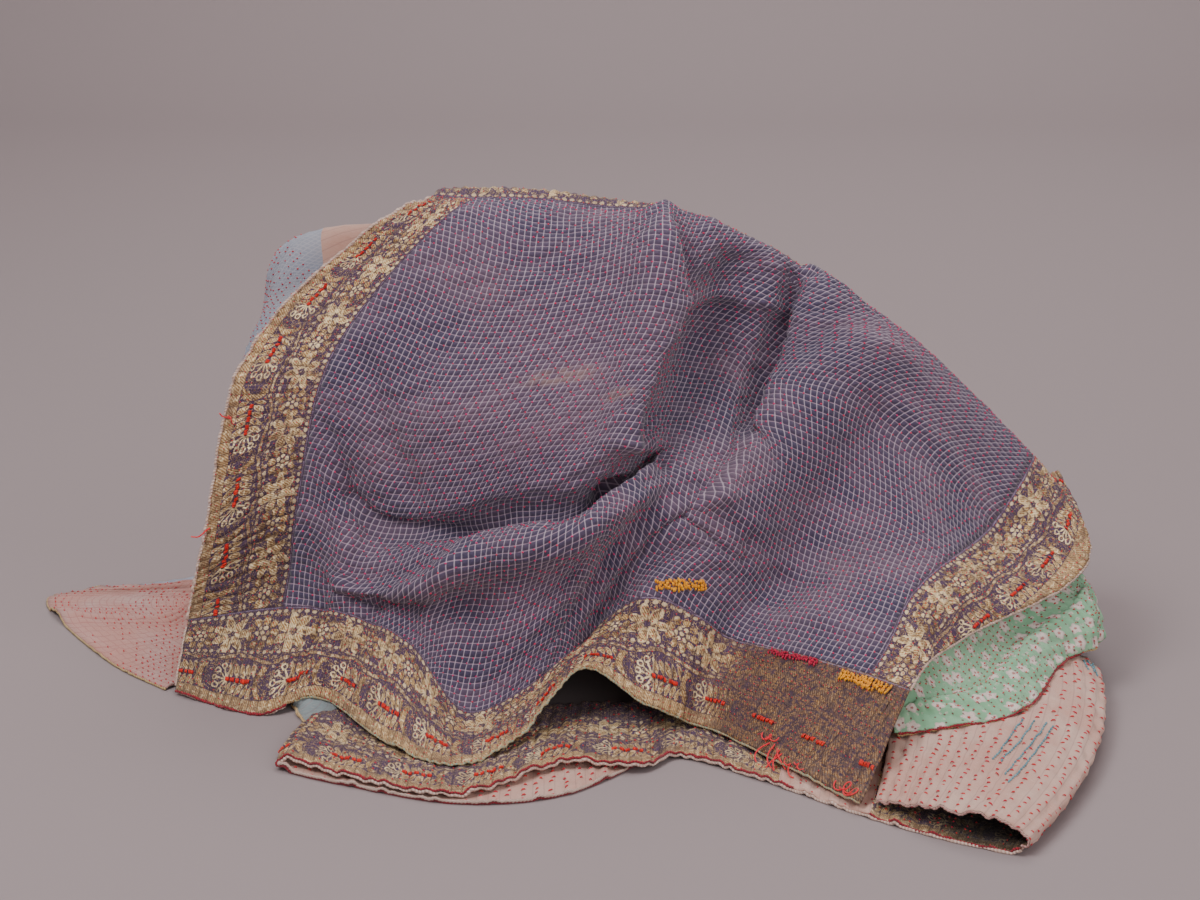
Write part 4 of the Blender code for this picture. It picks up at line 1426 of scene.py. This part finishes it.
class QUILT_OT_hem_pocket(bpy.types.Operator):
    """Turn the small flap of the reverse in the arch of the front hem"""

    bl_idname = "quilt.hem_pocket"
    bl_label = "Hem pocket"

    def execute(self, context):
        dusty = plain_cotton("dusty blue cotton", tint(132, 144, 148), tint(150, 154, 152))
        ply = hem_pocket()
        keep_piece(sheet_object("hem_pocket_cloth", ply, (dusty, dusty)))
        gold = edge_binding("gold pocket edge", tint(164, 126, 84), tint(206, 176, 128), 2.6)
        rim, out = ply.points[:, -1].copy(), ply.normals[:, -1]
        rim[:, 2] = np.maximum(rim[:, 2], CLOTH_THICKNESS)
        fine, out, radii = whipped(rim, out, 0.0014, 88)
        keep_piece(tube("hem_pocket_edge", fine, radii, gold, out))
        return {"FINISHED"}


class QUILT_OT_running_stitches(bpy.types.Operator):
    """Sew the rows of running stitches through every layer"""

    bl_idname = "quilt.running_stitches"
    bl_label = "Running stitches"

    def execute(self, context):
        red = thread("red thread", tint(205, 26, 62), tint(226, 44, 44))
        rose = thread("rose thread", tint(226, 16, 118), tint(230, 34, 84))
        draw = np.random.RandomState(41)
        part = running_rows(ply_of("field"), ROW_PITCH, ROW_PITCH * 2, 0.0021, draw,
                            width=0.0014, lift=0.0010, keep=0.88, stagger=0.09, shift=0.5)
        keep_piece(stitches("field_stitches", [part], rose, 42, rings=2))
        parts = [running_rows(ply_of(side), 0.0062, GROOVE_PITCH / 2, 0.0016, draw,
                              width=0.0013, lift=0.0010, keep=0.5)
                 for side in ("front", "back", "left", "right")]
        keep_piece(stitches("border_stitches", parts, red, 45))
        part = running_rows(ply_of("lower"), 0.0064, GROOVE_PITCH, 0.0034, draw,
                            width=0.0014, lift=0.0014, keep=0.92, stagger=0.08)
        keep_piece(stitches("reverse_stitches", [part], red, 43))
        fold = ply_of("fold")
        parts = [
            running_rows(fold, 0.0090, FOLD_PITCH, 0.0046, draw, side=-1.0,
                         width=0.0015, lift=0.0018, keep=0.94, stagger=0.08, shift=0.12),
            running_rows(fold, 0.0090, FOLD_PITCH / 2, 0.0022, draw, width=0.0013, lift=0.0010, keep=0.3),
        ]
        keep_piece(stitches("fold_stitches", parts, red, 44, rings=2))
        return {"FINISHED"}


class QUILT_OT_red_bars(bpy.types.Operator):
    """Work the small red blocks on the sprays of the brocade"""

    bl_idname = "quilt.red_bars"
    bl_label = "Red blocks"

    def execute(self, context):
        silk = thread("red silk", tint(246, 52, 22), tint(206, 20, 24), roughness=0.4, sheen=0.1)
        first_block, block_step, blocks = -0.0070, 0.0052, 5
        strand_step, strands = 0.00085, 4
        stem = SPRAY_AT / 1000
        fold_end = 0.60
        draw = np.random.RandomState(71)
        parts = []
        for name in ("front", "back", "left", "right", "fold"):
            ply = ply_of(name)
            lines = []
            last = fold_end if name == "fold" else ply.run_first.max()
            for repeat in range(-1, int(last / REPEAT) + 2):
                for block in range(blocks):
                    middle = repeat * REPEAT + first_block + block_step * block
                    lean = draw.uniform(-0.0005, 0.0005)
                    for strand in range(strands):
                        along = middle + (strand - 1.5) * strand_step + draw.normal(0, 0.00010)
                        reach = draw.uniform(0.0020, 0.0027)
                        lines.append((along, stem - reach + lean, along + lean, stem + reach))
            lines = [line for line in lines if line[0] < last]
            parts.append(sewn(ply, lines, 0.0012, 0.0024))
        keep_piece(stitches("brocade_blocks", parts, silk, 72, rings=3))
        return {"FINISHED"}


def darn(centre, turn, width, height, count, draw):
    """Lines of satin stitch about a centre on the cloth, turned by an angle, with an uneven outline."""
    along = np.array((math.cos(turn), math.sin(turn)))
    across = np.array((-math.sin(turn), math.cos(turn)))
    phase = draw.uniform(0, 6.28)
    layers = (-1, 0, 1)
    lines = []
    for step in np.linspace(-0.5, 0.5, count):
        tall = height * (0.88 + 0.22 * math.sin(step * 11 + phase))
        for layer in layers:
            middle = draw.normal(0, 0.06) * height + layer * tall * 0.27
            reach = tall * draw.uniform(0.17, 0.28)
            spot = np.array(centre) + along * (step * width + draw.normal(0, 0.0005))
            lean = along * draw.normal(0, 0.0008)
            lines.append((*(spot + across * (middle - reach)), *(spot + lean + across * (middle + reach))))
    return lines


# Mends on the pink side of the front fold, in metres on its cloth: where each starts and ends.
MENDS = (
    (1.0190, 0.180, 1.0275, 0.096),
    (1.0110, 0.182, 1.0200, 0.094),
    (1.0030, 0.184, 1.0120, 0.072),
    (0.9975, 0.176, 1.0065, 0.058),
    (0.9685, 0.326, 0.9715, 0.350),
    (0.9725, 0.326, 0.9755, 0.348),
    (0.9765, 0.322, 0.9795, 0.342),
)
MEND_STITCH = 0.0044      # length of one stitch of a mend


def mended(draw):
    """Lines of stitch along each mend."""
    lines = []
    for mend in MENDS:
        start, run = np.array(mend[:2]), np.array(mend[2:]) - np.array(mend[:2])
        pieces = int(np.hypot(*run) / MEND_STITCH)
        for piece in range(pieces):
            low, high = piece / pieces, (piece + draw.uniform(0.92, 1.0)) / pieces
            lines.append((*(start + run * low), *(start + run * high)))
    return lines


class QUILT_OT_darns(bpy.types.Operator):
    """Work the darned places in mustard, magenta and teal"""

    bl_idname = "quilt.darns"
    bl_label = "Darns"

    def execute(self, context):
        draw = np.random.RandomState(81)
        mustard = thread("mustard floss", tint(255, 176, 0), tint(238, 150, 0), roughness=0.45)
        magenta = thread("magenta floss", tint(214, 10, 70), tint(176, 6, 56), roughness=0.45)
        teal = thread("teal floss", tint(92, 144, 160), tint(122, 168, 180), roughness=0.5)
        field, front, fold = ply_of("field"), ply_of("front"), ply_of("fold")
        parts = [
            sewn(field, darn((0.1455, -0.1515), 0.62, 0.043, 0.0115, 34, draw), 0.0019, 0.0034),
            sewn(front, darn((0.7035, 0.0815), 0.0, 0.049, 0.0125, 38, draw), 0.0019, 0.0034),
        ]
        keep_piece(stitches("mustard_darns", parts, mustard, 82, rings=2))
        parts = [sewn(front, darn((0.6340, 0.0855), 0.0, 0.041, 0.0085, 32, draw), 0.0018, 0.0030)]
        keep_piece(stitches("magenta_darns", parts, magenta, 83, rings=2))
        lines = mended(draw)
        parts = [sewn(fold, lines, 0.0018, 0.0018, side=-1.0)]
        keep_piece(stitches("teal_mends", parts, teal, 84, rings=2))
        return {"FINISHED"}


class QUILT_OT_edgings(bpy.types.Operator):
    """Overcast the edges in crimson, cream and green"""

    bl_idname = "quilt.edgings"
    bl_label = "Edgings"

    def execute(self, context):
        crimson = edge_binding("crimson overcast edge", tint(176, 34, 48), tint(120, 28, 40), 2.2)
        cream = edge_binding("cream rolled edge", tint(216, 190, 180), tint(188, 156, 140), 3.0)
        rose = edge_binding("pale pink rolled edge", tint(206, 170, 160), tint(176, 124, 118), 3.0)
        mint = edge_binding("grey green rolled edge", tint(140, 160, 140), tint(176, 150, 112), 3.4)
        gold = edge_binding("gold rolled edge", tint(150, 116, 76), tint(196, 168, 118), 2.6)
        # Its name, cloth and edge, from and to along it, how far out and up it stands, and its radius.
        runs = (
            ("hem_left", "front", "hem", 0.0, 0.120, 0.0006, 0.0006, 0.0011, crimson),
            ("hem_left_under", "front", "hem", 0.0, 0.120, 0.0010, -0.0014, 0.0009, cream),
            ("hem_front", "front", "hem", 0.128, 0.750, 0.0005, 0.0000, 0.0011, mint),
            ("left", "left", "left", 0.0825, 0.565, 0.0012, 0.0007, 0.0014, cream),
            ("right", "right", "right", 0.09, 0.565, 0.0006, -0.0002, 0.0012, cream),
            ("fold", "fold", "hem", 0.0, 0.735, 0.0005, 0.0006, 0.0011, crimson),
            ("lip", "fold", "hem", 0.800, 0.945, 0.0005, 0.0006, 0.0011, crimson),
            ("fold_under", "fold", "hem", 0.0, 0.945, 0.0010, -0.0016, 0.0013, cream),
            ("mouth", "fold", "hem", 0.945, 1.16, 0.0004, 0.0000, 0.0010, rose),
            ("reverse_left", "lower", "hem", 0.0, 0.96, 0.0005, -0.0006, 0.0010, gold),
            ("reverse_right", "lower", "hem", 0.96, 1.40, 0.0006, -0.0012, 0.0013, gold),
            ("reverse_red", "lower", "hem", 1.16, 1.40, 0.0012, 0.0006, 0.0009, crimson),
            ("front_left", "front", "left", 0.004, 0.0825, 0.0012, 0.0007, 0.0013, cream),
        )
        for seed, (name, cloth, edge, start, end, beyond, above, radius, look) in enumerate(runs):
            line, normals = edge_line(ply_of(cloth), edge, start, end, beyond, above)
            fine, out, radii = whipped(line, normals, radius, 90 + seed)
            keep_piece(tube("edging_" + name, fine, radii, look, out))
        return {"FINISHED"}


# Loose ends, in metres: the cloth, the true lengths where the thread leaves it, its length, its loops and
# their size, and the way it goes.
LOOSE_ENDS = (
    ("left", 0.0994, 0.004, 0.018, 0.0, 0.0, (-0.9, -0.25, -0.25)),
    ("left", 0.1800, 0.006, 0.014, 0.0, 0.0, (-0.5, -0.5, 0.5)),
    ("left", 0.1760, 0.010, 0.010, 0.5, 0.0020, (-0.3, -0.6, 0.7)),
    ("front", 0.6500, 0.014, 0.012, 1.3, 0.0030, (0.5, -0.7, -0.4)),
    ("front", 0.6560, 0.011, 0.010, 1.6, 0.0024, (0.9, -0.4, -0.2)),
    ("front", 0.6640, 0.009, 0.020, 0.6, 0.0020, (-0.2, -0.7, -0.9)),
    ("front", 0.6690, 0.010, 0.026, 0.8, 0.0022, (0.1, -0.6, -0.9)),
    ("front", 0.6740, 0.008, 0.022, 0.5, 0.0016, (0.4, -0.6, -0.8)),
    ("front", 0.6770, 0.008, 0.030, 1.2, 0.0020, (0.2, -0.6, -0.9)),
    ("front", 0.6830, 0.006, 0.024, 0.7, 0.0018, (0.0, -0.6, -0.9)),
    ("front", 0.6880, 0.005, 0.020, 1.5, 0.0026, (0.5, -0.6, -0.7)),
    ("front", 0.7000, 0.004, 0.010, 1.4, 0.0020, (0.8, -0.5, -0.4)),
    ("front", 0.7360, 0.006, 0.012, 1.2, 0.0040, (0.3, -0.7, -0.5)),
    ("front", 0.7400, 0.004, 0.010, 1.6, 0.0048, (0.7, -0.5, -0.3)),
    ("front", 0.7440, 0.004, 0.008, 1.1, 0.0054, (0.5, -0.6, -0.4)),
)


def loose_line(ply, run_first, run_second, length, loops, size, way, curl):
    """Points of a thread that leaves the cloth at a place, goes its way, and curls or loops."""
    steps = np.linspace(0.0, 1.0, 30)
    lowest = 0.0008
    first, second, _ = ply.find(np.array([run_first]), np.array([run_second]))
    start = ply.skin(first, second)[0]
    out = ply.out(first, second)[0]
    way = np.array(way) - out * min(0.0, float(np.dot(way, out)))
    way /= np.linalg.norm(way)
    aside = np.cross(way, out)
    turns = 2 * np.pi * loops * steps
    swell = size * np.minimum(1.0, 4 * steps)
    arch = 0.0030 * np.sin(np.pi * np.minimum(1.0, steps * 1.2))
    sway = length * curl * np.sin(2.4 * steps) ** 2 + swell * np.sin(turns)
    forward = swell * (1 - np.cos(turns))
    line = (start + way * length * steps[:, None] + out * arch[:, None]
            + aside * sway[:, None] + way * forward[:, None])
    line[:, 2] = np.maximum(line[:, 2], lowest)
    return line


class QUILT_OT_loose_threads(bpy.types.Operator):
    """Leave the loose ends of red thread"""

    bl_idname = "quilt.loose_threads"
    bl_label = "Loose threads"

    def execute(self, context):
        draw = np.random.RandomState(95)
        red = thread("loose red thread", tint(240, 26, 48), tint(244, 60, 60))
        thread_radius = 0.00066
        for number, (name, *end) in enumerate(LOOSE_ENDS):
            line = loose_line(ply_of(name), *end, draw.uniform(-0.4, 0.4))
            keep_piece(tube(f"loose_thread_{number + 1}", line, thread_radius, red))
        return {"FINISHED"}


class QUILT_OT_stage(bpy.types.Operator):
    """Set the floor, the soft light and the camera"""

    bl_idname = "quilt.stage"
    bl_label = "Stage"

    def execute(self, context):
        stage = context.scene.quilt_stage
        look = Look("studio floor", 0.9)
        spot = look.node("TexCoord", out=3)
        cloud = look.node("TexNoise", {"Vector": spot, "Scale": 0.8, "Detail": 3.0})
        base = tuple(stage.floor_colour)
        look.finish(look.mix(cloud * 0.10, base, tuple(part * 0.9 for part in base)), cloud, 0.0005)
        # The floor sweeps up into a wall far behind the quilt.
        front, back, half_width, radius, top = -4.5, 2.7, 4.5, 0.9, 3.4
        profile = [(front, 0.0), (back, 0.0)]
        turn_cells = 12
        for step in range(1, turn_cells + 1):
            angle = math.radians(90 * step / turn_cells)
            profile.append((back + radius * math.sin(angle), radius * (1 - math.cos(angle))))
        profile.append((back + radius, top))
        shape = bmesh.new()
        rings = [[shape.verts.new((x, y, z)) for x in (-half_width, half_width)] for y, z in profile]
        for low, high in zip(rings, rings[1:]):
            shape.faces.new((low[0], low[1], high[1], high[0]))
        mesh = bpy.data.meshes.new("studio_floor")
        shape.to_mesh(mesh)
        shape.free()
        smooth_object(mesh, [look.material])

        target = Vector((0.0392, 0.0338, 0.205))
        wall = Vector((0.4, 3.2, 0.2))
        lights = (
            ("key_light", (-1.2, -0.95, 2.4), target, 1.3, stage.key_power),
            ("fill_light", (1.9, -1.3, 1.5), target, 1.6, stage.fill_power),
            ("top_light", (0.5, 0.3, 2.5), target, 1.5, stage.top_power),
            ("front_light", (0.7, -2.3, 0.8), target, 1.6, stage.front_power),
            ("wall_light", (0.4, 2.3, 2.8), wall, 2.4, stage.wall_power),
        )
        for name, place, goal, size, power in lights:
            light = bpy.data.lights.new(name, "AREA")
            light.size = size
            light.energy = power
            self.aim(placed(name, light), place, goal)
        world = bpy.data.worlds.new("studio_air")
        world.use_nodes = True
        air = world.node_tree.nodes["Background"]
        air.inputs["Color"].default_value = (0.64, 0.60, 0.60, 1.0)
        air.inputs["Strength"].default_value = 0.42
        context.scene.world = world

        camera = bpy.data.cameras.new("camera")
        camera.lens = stage.lens
        camera.sensor_width = 36.0
        seen = placed("camera", camera)
        self.aim(seen, (0.0392, -2.309, 0.921), target)
        context.scene.camera = seen
        return {"FINISHED"}

    @staticmethod
    def aim(made, place, goal):
        """Sets a light or the camera at a place, turned towards a goal."""
        made.location = place
        made.rotation_euler = (goal - Vector(place)).to_track_quat("-Z", "Y").to_euler()


class QUILT_PT_panel(bpy.types.Panel):
    """Lists the steps that build the quilt"""

    bl_idname = "QUILT_PT_panel"
    bl_label = "Kantha quilt"
    bl_space_type = "VIEW_3D"
    bl_region_type = "UI"
    bl_category = "Quilt"

    def draw(self, context):
        for settings in (context.scene.quilt, context.scene.quilt_stage):
            for name in settings.__annotations__:
                self.layout.prop(settings, name)
        for step in STEPS:
            self.layout.operator(step.bl_idname)


STEPS = (QUILT_OT_upper_ply, QUILT_OT_lower_ply, QUILT_OT_front_fold, QUILT_OT_hem_pocket,
         QUILT_OT_running_stitches, QUILT_OT_red_bars, QUILT_OT_darns, QUILT_OT_edgings,
         QUILT_OT_loose_threads, QUILT_OT_stage)
CLASSES = (QuiltSettings, StageSettings, *STEPS, QUILT_PT_panel)


def register():
    for each in CLASSES:
        bpy.utils.register_class(each)
    bpy.types.Scene.quilt = bpy.props.PointerProperty(type=QuiltSettings)
    bpy.types.Scene.quilt_stage = bpy.props.PointerProperty(type=StageSettings)


def unregister():
    del bpy.types.Scene.quilt_stage
    del bpy.types.Scene.quilt
    for each in reversed(CLASSES):
        bpy.utils.unregister_class(each)


def main():
    register()
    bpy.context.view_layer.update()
    bpy.ops.quilt.upper_ply()
    bpy.ops.quilt.lower_ply()
    bpy.ops.quilt.front_fold()
    bpy.ops.quilt.hem_pocket()
    bpy.ops.quilt.running_stitches()
    bpy.ops.quilt.red_bars()
    bpy.ops.quilt.darns()
    bpy.ops.quilt.edgings()
    bpy.ops.quilt.loose_threads()
    bpy.ops.quilt.stage()


if __name__ == "__main__":
    main()
